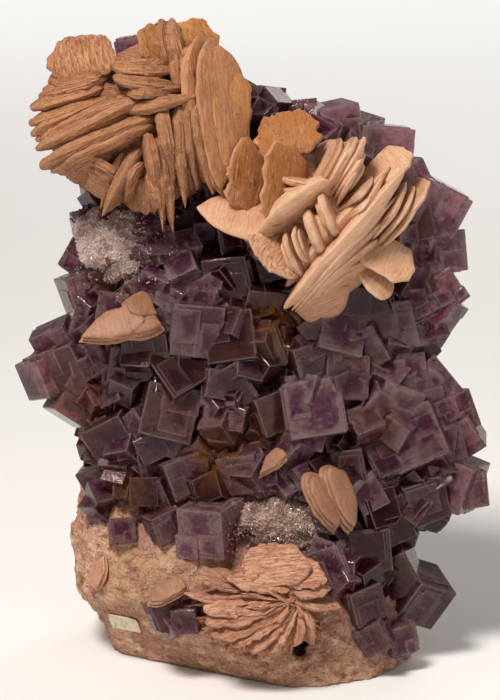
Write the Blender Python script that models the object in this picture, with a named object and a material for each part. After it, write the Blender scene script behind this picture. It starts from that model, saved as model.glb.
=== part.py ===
"""A cabinet specimen of purple fluorite with barite roses on its host rock, standing on a flat base.

The crystals are laid out in the frame of the specimen's face: X to the right, Y up the face and Z out of
it, in millimetres. The whole specimen then leans back by LEAN_BACK degrees and is cut flat where it stands.
"""

import math
import random

import bmesh
import bpy
from mathutils import Matrix, Quaternion, Vector, noise

MM = 0.001

# Driving dimensions, in millimetres and degrees
LEAN_BACK = 14.0
BASE_MIDDLE = (5.0, 22.0)
GAP = 0.3
WELD = 0.002 * MM
LABEL_WIDTH = 10.4
LABEL_HEIGHT = 5.6
LABEL_THICKNESS = 0.3
CUTTER_SIDE = 400.0

# How square the rock's and the crust's sections are, and how far their skin strays in swells and bumps
SECTION_ROUNDNESS = 2.4
SECTION_EDGE = 0.97
ROCK_ROUGHNESS = 1.5
CRUST_ROUGHNESS = 1.2
SWELL_PITCH = 0.06
BUMP_PITCH = 0.17
BUMP_SHARE = 0.6
SKIN_SEED = 11

# How many faces go round each lump, and how many rings they make up it
ROCK_FACES = (18, 14)
CRUST_FACES = (16, 12)
HEART_FACES = (10, 6)
BLADE_SIDES = 6

# The flat, worn flank at the lower left: a point of it, and the way it faces
FLANK_POINT = Vector((-38.0, 15.0, -3.0))
FLANK_NORMAL = Vector((-0.45, -0.62, 0.64)).normalized()
LABEL_PLACE = (-37.6, 14.6)
LABEL_TILT = 9.0

# Sections of the rock, from the base up: height, left, right, front, back
ROCK_SECTIONS = (
    (-8, -39, 48, 14, -56),
    (4, -40, 50, 14, -58),
    (13, -46, 51, 14, -59),
    (22, -52, 50, 13, -59),
    (32, -55, 47, 11, -58),
    (46, -55, 44, 6, -57),
    (58, -53, 46, -2, -55),
    (72, -51, 50, -8, -52),
    (88, -49, 49, -10, -49),
    (108, -48, 47, -11, -46),
    (128, -45, 51, -12, -45),
    (144, -43, 48, -12, -43),
    (158, -42, 34, -13, -42),
    (172, -41, 6, -16, -40),
    (184, -36, -16, -20, -36),
)

# Sections of the fluorite between and under the cubes: height, left, right, front, back
CRUST_SECTIONS = (
    (6, -30, 44, 0, -30),
    (24, -44, 48, 1, -32),
    (40, -46, 45, 1, -32),
    (52, -48, 58, 1, -32),
    (66, -48, 62, 1, -32),
    (80, -52, 58, 1, -32),
    (92, -58, 51, 0, -31),
    (104, -52, 52, 0, -31),
    (120, -49, 57, -1, -31),
    (140, -48, 58, -2, -31),
    (152, -49, 44, -4, -30),
    (164, -49, 33, -6, -30),
    (174, -48, -2, -9, -29),
    (185, -44, -16, -12, -26),
)

# Cubes of the crust: x, y, edge, and the turns about the face's Y, X and Z axes
CUBES = (
    (3.6, 164.4, 9.0, 15, 20, 5),
    (12.6, 163.2, 11.0, -20, 10, 22),
    (25.5, 165.0, 13.0, 20, 15, 8),
    (34.2, 162.8, 10.0, -15, 25, -12),
    (39.4, 156.8, 16.5, 14, 8, -6),
    (19.5, 154.2, 12.0, -10, 12, -18),
    (30.0, 151.2, 11.0, 25, -8, 14),
    (48.9, 149.5, 9.0, 10, 10, 25),
    (56.0, 139.6, 15.5, 12, 8, -28),
    (52.5, 134.4, 11.0, -25, -10, 10),
    (57.6, 126.6, 12.5, 20, 5, 5),
    (57.0, 115.2, 11.0, 8, 20, 35),
    (51.0, 112.2, 14.0, 18, -12, 32),
    (57.6, 108.6, 10.0, -30, 10, -35),
    (53.4, 102.6, 10.0, 20, -20, 20),
    (43.8, 105.0, 14.0, -12, 10, 15),
    (51.6, 97.2, 8.0, 10, 30, 40),
    (25.8, 101.1, 14.0, 16, -16, -10),
    (35.4, 98.1, 12.0, -20, 8, 30),
    (28.5, 88.2, 13.0, 6, -6, -3),
    (17.4, 93.0, 13.0, 22, 12, 15),
    (18.0, 78.0, 17.0, 10, -8, 10),
    (5.4, 99.6, 12.0, -24, 18, 20),
    (3.6, 111.6, 12.0, 14, 30, -14),
    (-5.4, 120.0, 14.0, -16, 20, 12),
    (-22.8, 114.3, 11.0, 5, -8, -4),
    (-13.8, 114.0, 10.5, -12, 6, -12),
    (-16.5, 103.5, 15.5, 8, 10, -6),
    (-4.2, 99.6, 15.0, -14, -10, 6),
    (-21.6, 89.1, 15.0, 20, -14, 35),
    (-30.0, 96.0, 14.0, -10, 15, 10),
    (-39.0, 93.0, 11.0, 24, 10, -8),
    (-45.6, 93.6, 10.0, -30, -12, 25),
    (-55.8, 92.1, 14.0, -20, 12, 25),
    (-61.6, 89.4, 12.0, 35, 10, 22),
    (-58.5, 99.0, 11.0, -15, 18, 28),
    (-53.4, 81.0, 12.0, 20, -10, -30),
    (-50.6, 114.6, 12.0, 18, 10, 20),
    (-50.2, 124.2, 10.0, -20, 14, -30),
    (-49.0, 134.1, 9.0, 12, 20, 10),
    (-25.2, 76.8, 16.0, 8, -10, -13),
    (-40.2, 70.8, 14.0, -22, 12, 32),
    (-31.2, 66.0, 11.0, 26, 16, 10),
    (-36.3, 56.4, 10.0, 4, -8, 2),
    (-45.0, 58.2, 10.0, -24, 10, 30),
    (-20.4, 59.4, 12.0, 15, 12, 20),
    (-16.2, 66.0, 9.0, -18, 20, 40),
    (-8.4, 77.4, 12.0, 6, -12, -3),
    (-5.4, 86.4, 13.0, -16, 10, 32),
    (6.0, 78.0, 12.0, 22, 8, 18),
    (-2.4, 60.6, 12.0, -14, 14, 12),
    (10.8, 57.0, 12.0, 28, -18, 38),
    (-11.4, 43.8, 15.0, -28, 14, 4),
    (-25.8, 44.4, 9.0, 20, 15, 20),
    (-28.2, 53.4, 9.0, -20, 10, 25),
    (-15.0, 55.8, 10.0, 30, 20, 15),
    (24.0, 33.0, 12.5, -20, 8, 22),
    (35.1, 54.0, 10.5, 12, 10, 38),
    (30.6, 63.0, 10.0, -18, 12, 12),
    (40.2, 63.0, 11.0, 20, -15, 28),
    (43.8, 81.0, 13.0, 10, 12, -22),
    (44.4, 90.0, 10.0, -24, 14, 15),
    (52.8, 85.2, 14.0, 16, 10, 40),
    (51.0, 69.6, 17.0, -12, -12, 22),
    (60.6, 77.4, 12.0, 24, 10, 20),
    (64.2, 71.0, 11.0, -16, 15, 36),
    (57.6, 64.8, 13.0, 14, -8, 12),
    (61.2, 57.0, 15.0, -20, 12, -18),
    (65.0, 54.6, 11.0, 20, 8, 6),
    (51.6, 52.2, 13.0, 12, 16, 14),
    (54.0, 49.8, 12.0, 10, -25, -12),
    (39.6, 45.6, 14.0, 14, 14, 20),
    (43.4, 41.4, 11.0, -18, 10, 30),
    (34.8, 37.2, 13.0, 8, 8, 5),
    (33.0, 21.6, 11.0, 24, 16, 15),
    (43.8, 30.0, 13.0, -16, 14, 28),
    (50.6, 23.2, 14.5, 38, 20, -34),
    (44.4, 10.4, 9.0, 20, 14, 12),
    (37.2, 12.0, 9.0, -20, 12, 30),
    (-36.0, 187.4, 8.0, -16, 10, 10),
    (-27.6, 190.4, 9.0, 20, 16, 30),
    (-14.6, 185.4, 8.0, 14, -12, 10),
    (-1.2, 163.8, 9.0, 18, 8, 20),
    (-2.4, 153.6, 9.0, -14, 16, 8),
    (-5.4, 132.0, 12.0, 16, 10, 10),
    (-49.5, 104.6, 11.0, 12, 10, -15),
    (15.0, 111.6, 12.0, -18, 22, 14),
    (37.8, 113.4, 12.0, -22, 12, 20),
)

# How far a cube's middle stands out of the stone under it, as a share of its edge
CUBE_STANDS_OUT = 0.12

# Smaller cubes that carry the crust round the sides and the top of the rock
RIM_SEED = 7
RIM_COUNT = 22
RIM_EDGES = (9.0, 13.0)
RIM_WANDER = 3.0
RIM_TURN = 40.0
RIM_DEPTHS = (-15.0, -27.0)
RIM_INSET = 4.0
RIM_LOW = 34.0
RIM_HIGH = 166.0

# Small cubes low on the rock's left: x, y, edge, and three turns
FOOT_CUBES = (
    (-24.6, 20.6, 9.5, 20, 12, 22),
    (-18.6, 17.8, 8.0, -16, 20, 8),
    (-22.4, 15.6, 7.0, 25, -10, 35),
)

# A blade's outline: how far its front rim bows out, how pointed it is, and how wide and high its flat is
BLADE_BOW = 0.35
BLADE_POINT = 0.9
BLADE_FLAT = 0.62
BLADE_CROWN = 1.06

# Plates turned further than this show a broad face, so they get a flat with a bevel round it
BROAD_TILT = 40

# Each rose is a low dome: centre, radius, the depth of its floor and how high its middle stands over that
ROSE_UPPER_LEFT_DOME = (-31.5, 162.0, 34.0, 1.0, 30.0)
ROSE_UPPER_RIGHT_DOME = (17.5, 136.5, 35.0, 1.0, 27.0)
ROSE_LOWER_DOME = (4.5, 22.0, 26.0, 13.0, 14.0)

# Blades: their two tips on the face (x, y, x, y), thickness, tilt off edge-on, and breadth
# A breadth of 0 reaches from the dome's skin down to its floor.
ROSE_UPPER_LEFT = (
    (-59.2, 179.2, -39.0, 182.8, 3.0, 64, 15),
    (-59.0, 176.0, -40.9, 179.8, 3.6, 24, 0),
    (-62.5, 172.2, -41.2, 177.8, 3.2, 18, 0),
    (-65.5, 168.4, -41.2, 175.1, 3.6, 12, 0),
    (-65.8, 163.6, -42.3, 171.1, 3.6, 8, 0),
    (-65.6, 160.2, -40.0, 171.1, 3.4, 4, 0),
    (-63.6, 155.8, -27.7, 171.9, 4.4, 0, 0),
    (-62.8, 150.4, -26.9, 165.2, 4.0, -4, 0),
    (-39.7, 165.8, -12.6, 171.9, 4.0, 6, 0),
    (-58.2, 148.6, -26.3, 162.6, 3.4, -8, 0),
    (-54.0, 147.8, -38.0, 154.0, 3.4, -14, 0),
    (-40.6, 180.7, -21.9, 178.9, 3.8, 18, 0),
    (-40.0, 176.6, -21.3, 174.3, 3.6, 10, 0),
    (-36.8, 171.9, -22.2, 171.4, 2.8, 4, 0),
    (-30.6, 192.6, -26.3, 178.4, 3.0, 54, 13),
    (-26.9, 194.2, -23.1, 176.4, 4.0, 14, 0),
    (-23.4, 194.4, -18.7, 171.9, 4.4, 14, 0),
    (-21.0, 193.0, -12.4, 181.4, 3.0, 54, 14),
    (-17.9, 186.0, -13.7, 167.2, 3.6, 24, 0),
    (-12.6, 187.4, -8.2, 141.6, 3.4, 48, 17),
    (-10.6, 186.0, -5.0, 148.0, 3.0, 56, 14),
    (-6.6, 179.2, -5.2, 160.0, 3.0, 64, 11),
    (-25.7, 168.4, -21.9, 143.3, 4.0, 2, 0),
    (-20.4, 165.8, -19.0, 138.1, 3.8, 6, 0),
    (-17.5, 167.6, -15.5, 143.6, 2.8, 12, 0),
    (-15.5, 168.4, -10.8, 141.3, 3.8, 16, 0),
    (-12.8, 165.8, -7.3, 141.6, 3.4, 30, 0),
    (-26.6, 153.0, -22.9, 131.3, 3.4, -6, 0),
    (-30.4, 158.5, -27.7, 143.6, 3.8, -6, 0),
    (-27.4, 158.2, -25.7, 132.5, 3.2, -8, 0),
    (-30.4, 146.5, -27.7, 137.8, 3.6, -14, 0),
    (-43.8, 135.4, -31.2, 156.2, 3.9, -8, 0),
    (-36.8, 140.7, -31.2, 150.6, 2.8, -14, 0),
    (-47.6, 152.1, -38.5, 146.5, 2.8, -8, 0),
    (-49.3, 151.3, -40.3, 143.3, 2.8, -16, 0),
)
ROSE_UPPER_RIGHT = (
    (2.0, 156.5, 20.9, 160.0, 3.0, 58, 17),
    (-1.2, 157.9, -3.5, 137.0, 2.4, 60, 14),
    (9.3, 157.3, 6.4, 133.4, 2.6, 56, 16),
    (-15.8, 138.6, 6.4, 131.0, 2.8, 58, 16),
    (1.5, 129.9, 25.4, 146.8, 4.6, -16, 0),
    (9.3, 146.5, 19.6, 144.8, 2.0, 10, 0),
    (9.6, 142.4, 18.1, 143.9, 2.0, 6, 0),
    (7.9, 138.1, 17.2, 142.2, 2.0, 2, 0),
    (19.0, 145.9, 27.7, 158.2, 2.2, 14, 0),
    (21.9, 146.8, 31.2, 158.5, 2.4, 8, 0),
    (23.7, 142.4, 33.0, 158.5, 2.6, 4, 0),
    (27.2, 144.2, 32.4, 153.5, 2.2, -6, 0),
    (25.4, 136.0, 35.6, 143.3, 2.2, 12, 0),
    (26.3, 131.6, 38.0, 145.9, 2.8, 8, 0),
    (29.2, 143.3, 37.4, 149.2, 2.4, 16, 0),
    (10.2, 108.9, 45.6, 149.7, 6.4, 6, 0),
    (13.7, 109.4, 36.8, 128.7, 4.4, -8, 0),
    (15.6, 109.0, 35.6, 122.3, 4.2, -20, 0),
    (34.0, 143.0, 47.6, 155.0, 3.2, 42, 15),
    (36.2, 125.8, 52.0, 147.0, 4.2, 10, 0),
    (36.2, 129.6, 45.3, 144.2, 3.0, 18, 0),
    (0.3, 129.6, 15.5, 117.9, 2.8, 46, 16),
    (11.1, 130.5, 16.1, 118.8, 2.4, 14, 0),
    (17.8, 136.3, 21.9, 124.9, 3.4, 12, 0),
    (21.0, 141.9, 26.0, 129.9, 2.8, 10, 0),
    (32.0, 126.4, 47.4, 119.4, 3.2, 48, 15),
    (31.6, 122.4, 40.8, 112.4, 3.0, 34, 14),
    (13.4, 107.6, 29.0, 115.6, 3.6, -36, 18),
)
ROSE_LOWER = (
    (-2.6, 31.0, 17.4, 33.0, 3.4, 44, 17),
    (9.0, 28.2, 22.4, 29.9, 2.8, 42, 13),
    (11.0, 30.4, 22.6, 25.0, 2.8, 34, 13),
    (-0.6, 30.5, 13.5, 24.7, 2.4, 16, 0),
    (9.6, 23.8, 27.5, 21.2, 3.0, 6, 0),
    (-14.6, 30.2, 0.6, 26.4, 2.2, 20, 0),
    (-19.9, 25.3, 0.0, 21.7, 2.0, 10, 0),
    (-13.5, 20.0, 5.6, 21.5, 2.2, -8, 0),
    (-10.8, 14.1, 5.9, 21.2, 2.4, -18, 0),
    (-7.0, 10.3, 6.4, 20.9, 2.4, -26, 0),
    (-1.2, 8.3, 7.3, 20.9, 2.4, -30, 0),
    (4.7, 8.0, 8.5, 20.9, 2.4, -16, 0),
    (12.6, 10.3, 9.9, 20.9, 2.4, 20, 0),
    (11.7, 22.6, 18.4, 15.3, 2.4, 30, 0),
    (-8.0, 27.0, 12.0, 22.6, 2.4, 12, 0),
)

# Lone barite plates, as blades, with the depth of their visible edge put last
BARITE_LEFT = (
    (-50.4, 101.4, -29.4, 108.2, 4.6, 62, 14, 15),
    (-37.0, 113.6, -26.4, 104.2, 4.4, 50, 12, 14),
)
BARITE_RIGHT = (
    (24.4, 61.4, 28.0, 42.8, 4.6, 46, 9, 15),
    (17.4, 60.8, 24.0, 42.8, 4.6, 52, 10, 16),
)
BARITE_CENTRE = ((3.0, 59.6, 10.8, 66.8, 2.6, 46, 9, 14),)
BARITE_FOOT_LEFT = ((-47.0, 25.0, -43.4, 35.0, 2.6, 48, 9, 3),)
BARITE_FOOT_MIDDLE = ((-30.4, 21.8, -18.4, 28.0, 2.4, 46, 10, 17),)

# The blunt middles of the roses, which hold their blades together: half-sizes
HEART_UPPER_LEFT = (28.0, 24.0, 24.0)
HEART_UPPER_RIGHT = (24.0, 21.0, 21.0)
HEART_LOWER = (17.0, 13.0, 13.0)

# How far behind a rose's floor the middle of its heart lies, how steeply a dome falls and where it ends
HEART_DEPTH = 2.0
DOME_FALL = 0.7
DOME_EDGE = 0.15

# How far a plate's lean can lengthen its reach back to the floor
LEAST_COSINE = 0.7

# Druse patches: centre, half-sizes and turn about the face's Z axis
DRUSE_UPPER = ((-39.5, 129.0, -4.0), (14.0, 11.5, 9.5), -14.0)
DRUSE_LOWER = ((9.6, 43.5, 2.5), (15.5, 9.5, 8.5), -8.0)
DRUSE_BUMP = 0.10
DRUSE_BUMP_PITCH = 3.1

STONE = (0.42, 0.27, 0.18)
PURPLE = (0.12, 0.05, 0.10)
BARITE_TAN = (0.55, 0.33, 0.20)
BARITE_CREAM = (0.68, 0.48, 0.34)
BARITE_PINK = (0.62, 0.34, 0.22)
QUARTZ_GREY = (0.40, 0.32, 0.30)
PAPER = (0.72, 0.60, 0.46)


def clear_scene():
    for obj in list(bpy.data.objects):
        bpy.data.objects.remove(obj)


def make_collection(name):
    collection = bpy.data.collections.new(name)
    bpy.context.scene.collection.children.link(collection)
    return collection


def make_material(name, colour, roughness):
    material = bpy.data.materials.new(name)
    material.use_nodes = True
    shader = material.node_tree.nodes["Principled BSDF"]
    shader.inputs["Base Color"].default_value = (*colour, 1.0)
    shader.inputs["Roughness"].default_value = roughness
    shader.inputs["Metallic"].default_value = 0.0
    return material


def make_object(name, bm, collection):
    """A new object of this mesh, standing in the specimen's leaning frame."""
    bmesh.ops.recalc_face_normals(bm, faces=bm.faces)
    mesh = bpy.data.meshes.new(name)
    bm.to_mesh(mesh)
    bm.free()
    obj = bpy.data.objects.new(name, mesh)
    collection.objects.link(obj)
    obj.parent = specimen
    return obj


def make_blank(bm):
    """A helper solid, which joins or cuts others."""
    blank = make_object("blank", bm, blanks)
    blank.hide_render = True
    blank.display_type = "WIRE"
    return blank


def take_boolean(obj, others, operation, solver="EXACT"):
    """Joins these blanks to the object, or cuts them from it, in one Boolean, and removes them."""
    group = bpy.data.collections.new("group")
    bpy.context.scene.collection.children.link(group)
    for other in others:
        group.objects.link(other)
    modifier = obj.modifiers.new(operation.lower(), "BOOLEAN")
    modifier.operation = operation
    modifier.operand_type = "COLLECTION"
    modifier.collection = group
    modifier.solver = solver
    apply_modifiers(obj)
    for other in others:
        bpy.data.objects.remove(other)
    bpy.data.collections.remove(group)


def apply_modifiers(obj):
    bpy.context.view_layer.update()
    graph = bpy.context.evaluated_depsgraph_get()
    mesh = bpy.data.meshes.new_from_object(obj.evaluated_get(graph))
    obj.modifiers.clear()
    obj.data = mesh


def shells_of(bm):
    """The vertices of each separate shell, the largest shell first."""
    unseen = set(bm.verts)
    shells = []
    while unseen:
        shell = set()
        ahead = [unseen.pop()]
        while ahead:
            vert = ahead.pop()
            shell.add(vert)
            near = [edge.other_vert(vert) for edge in vert.link_edges]
            fresh = [other for other in near if other in unseen]
            unseen.difference_update(fresh)
            ahead.extend(fresh)
        shells.append(shell)
    return sorted(shells, key=len, reverse=True)


def keep_largest_shell(obj):
    """Drops the crumbs that a cut leaves loose."""
    bm = bmesh.new()
    bm.from_mesh(obj.data)
    bmesh.ops.remove_doubles(bm, verts=bm.verts, dist=WELD)
    loose = [vert for shell in shells_of(bm)[1:] for vert in shell]
    bmesh.ops.delete(bm, geom=loose, context="VERTS")
    bm.to_mesh(obj.data)
    bm.free()


def section_at(sections, y):
    """Left, right, front and back of a stack of sections at height y."""
    y = max(sections[0][0], min(sections[-1][0], y))
    for low, high in zip(sections, sections[1:]):
        if y <= high[0]:
            share = (y - low[0]) / (high[0] - low[0])
            return [a + (b - a) * share for a, b in zip(low[1:], high[1:])]
    return list(sections[-1][1:])


def front_of(sections, x, y):
    """Depth of the front skin of a stack of sections at a place on the face."""
    left, right, front, back = section_at(sections, y)
    off_middle = abs(x - (left + right) / 2) / ((right - left) / 2)
    off_middle = min(off_middle, SECTION_EDGE)
    rise = (1 - off_middle**SECTION_ROUNDNESS) ** (1 / SECTION_ROUNDNESS)
    return (front + back) / 2 + (front - back) / 2 * rise


def section_way(turn):
    """The way out from a section's middle to its rounded-square rim, for a rim one unit off."""
    c, s = math.cos(turn), math.sin(turn)
    power = 2 / SECTION_ROUNDNESS
    return Vector((math.copysign(abs(c) ** power, c), 0, math.copysign(abs(s) ** power, s)))


def lump(sections, faces, roughness, grow=0.0):
    """A closed, faceted stone whose rings follow a stack of sections, made from a UV sphere."""
    around, rings = faces
    bm = bmesh.new()
    bmesh.ops.create_uvsphere(bm, u_segments=around, v_segments=rings, radius=1.0)
    lowest = sections[0][0]
    highest = sections[-1][0]
    for vert in bm.verts:
        ring = math.acos(max(-1.0, min(1.0, -vert.co.z))) / math.pi * rings
        climb = max(0.0, min(1.0, (ring - 1) / (rings - 2)))
        y = lowest + (highest - lowest) * climb
        left, right, front, back = section_at(sections, y)
        on_rim = 0.5 < ring < rings - 0.5
        out = section_way(math.atan2(vert.co.y, vert.co.x)) if on_rim else Vector((0, 0, 0))
        place = Vector(((left + right) / 2, y, (front + back) / 2))
        place += Vector((out.x * (right - left) / 2, 0, out.z * (front - back) / 2))
        bumps = noise.noise_vector(place * SWELL_PITCH) + BUMP_SHARE * noise.noise_vector(place * BUMP_PITCH)
        if climb in (0.0, 1.0):
            out.y = math.copysign(1.0, climb - 0.5)
        vert.co = (place + roughness * bumps + grow * out) * MM
    bmesh.ops.triangulate(bm, faces=bm.faces, quad_method="FIXED")
    return bm


def turned(yaw, pitch, roll):
    return (
        Matrix.Rotation(math.radians(roll), 4, "Z")
        @ Matrix.Rotation(math.radians(pitch), 4, "X")
        @ Matrix.Rotation(math.radians(yaw), 4, "Y")
    )


def cube(x, y, z, edge, yaw, pitch, roll):
    """A fluorite cube, as a blank."""
    bm = bmesh.new()
    place = Matrix.Translation(Vector((x, y, z)) * MM) @ turned(yaw, pitch, roll)
    bmesh.ops.create_cube(bm, size=edge * MM, matrix=place)
    return make_blank(bm)


def cubes_on_face(rows):
    """The cubes of a list, each standing out of the crust or the rock under it by a share of its edge."""
    made = []
    for x, y, edge, yaw, pitch, roll in rows:
        skin = max(front_of(CRUST_SECTIONS, x, y), front_of(ROCK_SECTIONS, x, y))
        made.append(cube(x, y, skin + CUBE_STANDS_OUT * edge, edge, yaw, pitch, roll))
    return made


def rim_cubes():
    """Cubes round the crust's left side, top and right side, behind the ones that face front."""
    chance = random.Random(RIM_SEED)
    made = []
    for number in range(RIM_COUNT):
        share = (number + 0.5) / RIM_COUNT
        side = 1 if number % 2 else -1
        y = RIM_LOW + (RIM_HIGH - RIM_LOW) * share + chance.uniform(-RIM_WANDER, RIM_WANDER)
        left, right, _, _ = section_at(CRUST_SECTIONS, y)
        x = right - RIM_INSET if side > 0 else left + RIM_INSET
        z = chance.uniform(*RIM_DEPTHS)
        edge = chance.uniform(*RIM_EDGES)
        turns = [chance.uniform(-RIM_TURN, RIM_TURN) for _ in range(3)]
        made.append(cube(x, y, z, edge, *turns))
    return made


def blade(start, end, crest, breadth, thickness, tilt, grow=0.0):
    """A tabular barite crystal with a bevelled rim, pointed at both tips, as a blank.

    The tips are at start and end, and the rim between them bows out to the depth of crest. The plate reaches
    back from there, turned by tilt degrees off edge-on towards the left of the way from start to end.
    """
    start, end = Vector((*start, 0)), Vector((*end, 0))
    along = (end - start).normalized()
    out = Vector((0, 0, 1))
    lean = math.radians(tilt)
    back = out.cross(along) * math.sin(lean) - out * math.cos(lean)
    normal = along.cross(back)
    bow = BLADE_BOW * breadth
    middle = (start + end) / 2 + out * (crest - bow * math.cos(lean))
    half_length = (end - start).length / 2 + grow
    half_thickness = thickness / 2 + grow
    bm = bmesh.new()
    rings = 4 if tilt > BROAD_TILT else 2
    bmesh.ops.create_uvsphere(bm, u_segments=BLADE_SIDES, v_segments=rings, radius=1.0)
    for vert in bm.verts:
        far, height = blade_ring(vert.co)
        c, s = blade_way(math.atan2(vert.co.y, vert.co.x))
        wide = (breadth - bow if s > 0 else bow) + grow
        place = middle + along * half_length * far * c + back * wide * far * s
        vert.co = (place + normal * half_thickness * height) * MM
    bmesh.ops.triangulate(bm, faces=bm.faces)
    return make_blank(bm)


def blade_ring(place):
    """How far out a point of the unit sphere comes to lie on a blade, and how high over its middle plane."""
    on_rim = abs(place.z) < WELD
    on_pole = abs(place.z) > 1 - WELD
    if on_rim:
        return 1.0, 0.0
    if on_pole:
        return 0.0, math.copysign(BLADE_CROWN, place.z)
    return BLADE_FLAT, math.copysign(1.0, place.z)


def blade_way(turn):
    """The way from a blade's middle to its pointed rim: its parts along the blade and across it."""
    c, s = math.cos(turn), math.sin(turn)
    return math.copysign(abs(c) ** BLADE_POINT, c), math.copysign(abs(s) ** BLADE_POINT, s)


def rose(rows, dome, heart_sizes, grow=0.0):
    """A rose: blades whose rims follow its dome, held together by its heart, as one blank."""
    centre_x, centre_y, radius, floor, height = dome
    made = []
    for x0, y0, x1, y1, thickness, tilt, breadth in rows:
        off = math.hypot((x0 + x1) / 2 - centre_x, (y0 + y1) / 2 - centre_y) / radius
        crest = floor + height * max(DOME_EDGE, 1 - off * off) ** DOME_FALL
        reach = breadth or (crest - floor) / max(LEAST_COSINE, math.cos(math.radians(tilt)))
        made.append(blade((x0, y0), (x1, y1), crest, reach, thickness, tilt, grow))
    whole = heart(centre_x, centre_y, floor - HEART_DEPTH, heart_sizes, grow)
    take_boolean(whole, made, "UNION")
    keep_largest_shell(whole)
    return whole


def heart(x, y, z, half_sizes, grow):
    """The blunt middle of a rose, which fills the gaps between its blades and sits in the crust."""
    bm = bmesh.new()
    around, rings = HEART_FACES
    bmesh.ops.create_uvsphere(bm, u_segments=around, v_segments=rings, radius=1.0)
    sizes = Vector(half_sizes) + Vector((grow, grow, grow))
    for vert in bm.verts:
        vert.co = (Vector([size * part for size, part in zip(sizes, vert.co)]) + Vector((x, y, z))) * MM
    bmesh.ops.triangulate(bm, faces=bm.faces)
    return make_blank(bm)


def lone_crystal(rows, grow=0.0):
    """A single plate or a pair grown together, as one blank."""
    made = []
    for x0, y0, x1, y1, thickness, tilt, breadth, crest in rows:
        made.append(blade((x0, y0), (x1, y1), crest, breadth, thickness, tilt, grow))
    first = made[0]
    if len(made) > 1:
        take_boolean(first, made[1:], "UNION")
    return first


def druse(centre, half_sizes, turn, grow=0.0):
    """A low mound of tiny quartz crystals, as a rough blank."""
    bm = bmesh.new()
    bmesh.ops.create_icosphere(bm, subdivisions=2, radius=1.0)
    for vert in bm.verts:
        bump = 1 + DRUSE_BUMP * noise.noise(vert.co * DRUSE_BUMP_PITCH + Vector(centre))
        vert.co = Vector([(size * bump + grow) * part for size, part in zip(half_sizes, vert.co)])
    bmesh.ops.rotate(bm, verts=bm.verts, matrix=Matrix.Rotation(math.radians(turn), 3, "Z"))
    bmesh.ops.translate(bm, verts=bm.verts, vec=Vector(centre))
    bmesh.ops.scale(bm, verts=bm.verts, vec=(MM, MM, MM))
    return make_blank(bm)


def finish_piece(obj, name, material, collection):
    for old in list(obj.users_collection):
        old.objects.unlink(obj)
    collection.objects.link(obj)
    obj.name = name
    obj.data.name = name
    obj.hide_render = False
    obj.display_type = "TEXTURED"
    obj.data.materials.clear()
    obj.data.materials.append(material)
    return obj


def slab_beyond(point, normal, side):
    """A big box with one face on a plane, as a cutter for what lies beyond it."""
    bm = bmesh.new()
    face_out = normal.to_track_quat("Z", "Y").to_matrix().to_4x4()
    place = Matrix.Translation((point + normal * side / 2) * MM) @ face_out
    bmesh.ops.create_cube(bm, size=side * MM, matrix=place)
    return make_blank(bm)


def floor_cutter():
    """A box whose top is the surface that the leaning specimen stands on."""
    lean = math.radians(LEAN_BACK)
    down = Vector((0, -math.cos(lean), -math.sin(lean)))
    return slab_beyond(Vector((0, 0, 0)), down, CUTTER_SIDE)


def rock_blank(grow):
    """The host rock with its worn flank, as a blank that is grow larger all round."""
    rock = make_blank(lump(ROCK_SECTIONS, ROCK_FACES, ROCK_ROUGHNESS, grow))
    flank = slab_beyond(FLANK_POINT + FLANK_NORMAL * grow, FLANK_NORMAL, CUTTER_SIDE)
    take_boolean(rock, [flank], "DIFFERENCE")
    return rock


def label_place():
    """Where the label's back lies on the worn flank."""
    place = Vector((*LABEL_PLACE, 0))
    place.z = (FLANK_POINT - place).dot(FLANK_NORMAL) / FLANK_NORMAL.z
    return place


def label():
    """The paper label: a thin card on the flank, its long side along the base."""
    bm = bmesh.new()
    bmesh.ops.create_cube(bm, size=1.0)
    level = Vector((0, 1, 0)).cross(FLANK_NORMAL).normalized()
    level.rotate(Quaternion(FLANK_NORMAL, math.radians(LABEL_TILT)))
    upright = FLANK_NORMAL.cross(level)
    back = label_place() + FLANK_NORMAL * GAP
    for vert in bm.verts:
        across = level * vert.co.x * LABEL_WIDTH
        up = upright * vert.co.y * LABEL_HEIGHT
        through = FLANK_NORMAL * (vert.co.z + 0.5) * LABEL_THICKNESS
        vert.co = (back + across + up + through) * MM
    return make_blank(bm)


clear_scene()
noise.seed_set(SKIN_SEED)
parts = make_collection("fluorite_with_barite")
blanks = make_collection("blanks")

specimen = bpy.data.objects.new("specimen", None)
parts.objects.link(specimen)
specimen.rotation_euler = (math.radians(90 - LEAN_BACK), 0, 0)
specimen.location = (-BASE_MIDDLE[0] * MM, -BASE_MIDDLE[1] * MM, 0)

stone = make_material("stone", STONE, 0.85)
purple = make_material("fluorite", PURPLE, 0.2)
tan = make_material("barite_tan", BARITE_TAN, 0.7)
cream = make_material("barite_cream", BARITE_CREAM, 0.6)
pink = make_material("barite_pink", BARITE_PINK, 0.7)
grey = make_material("quartz", QUARTZ_GREY, 0.5)
paper = make_material("paper", PAPER, 0.9)

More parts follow.
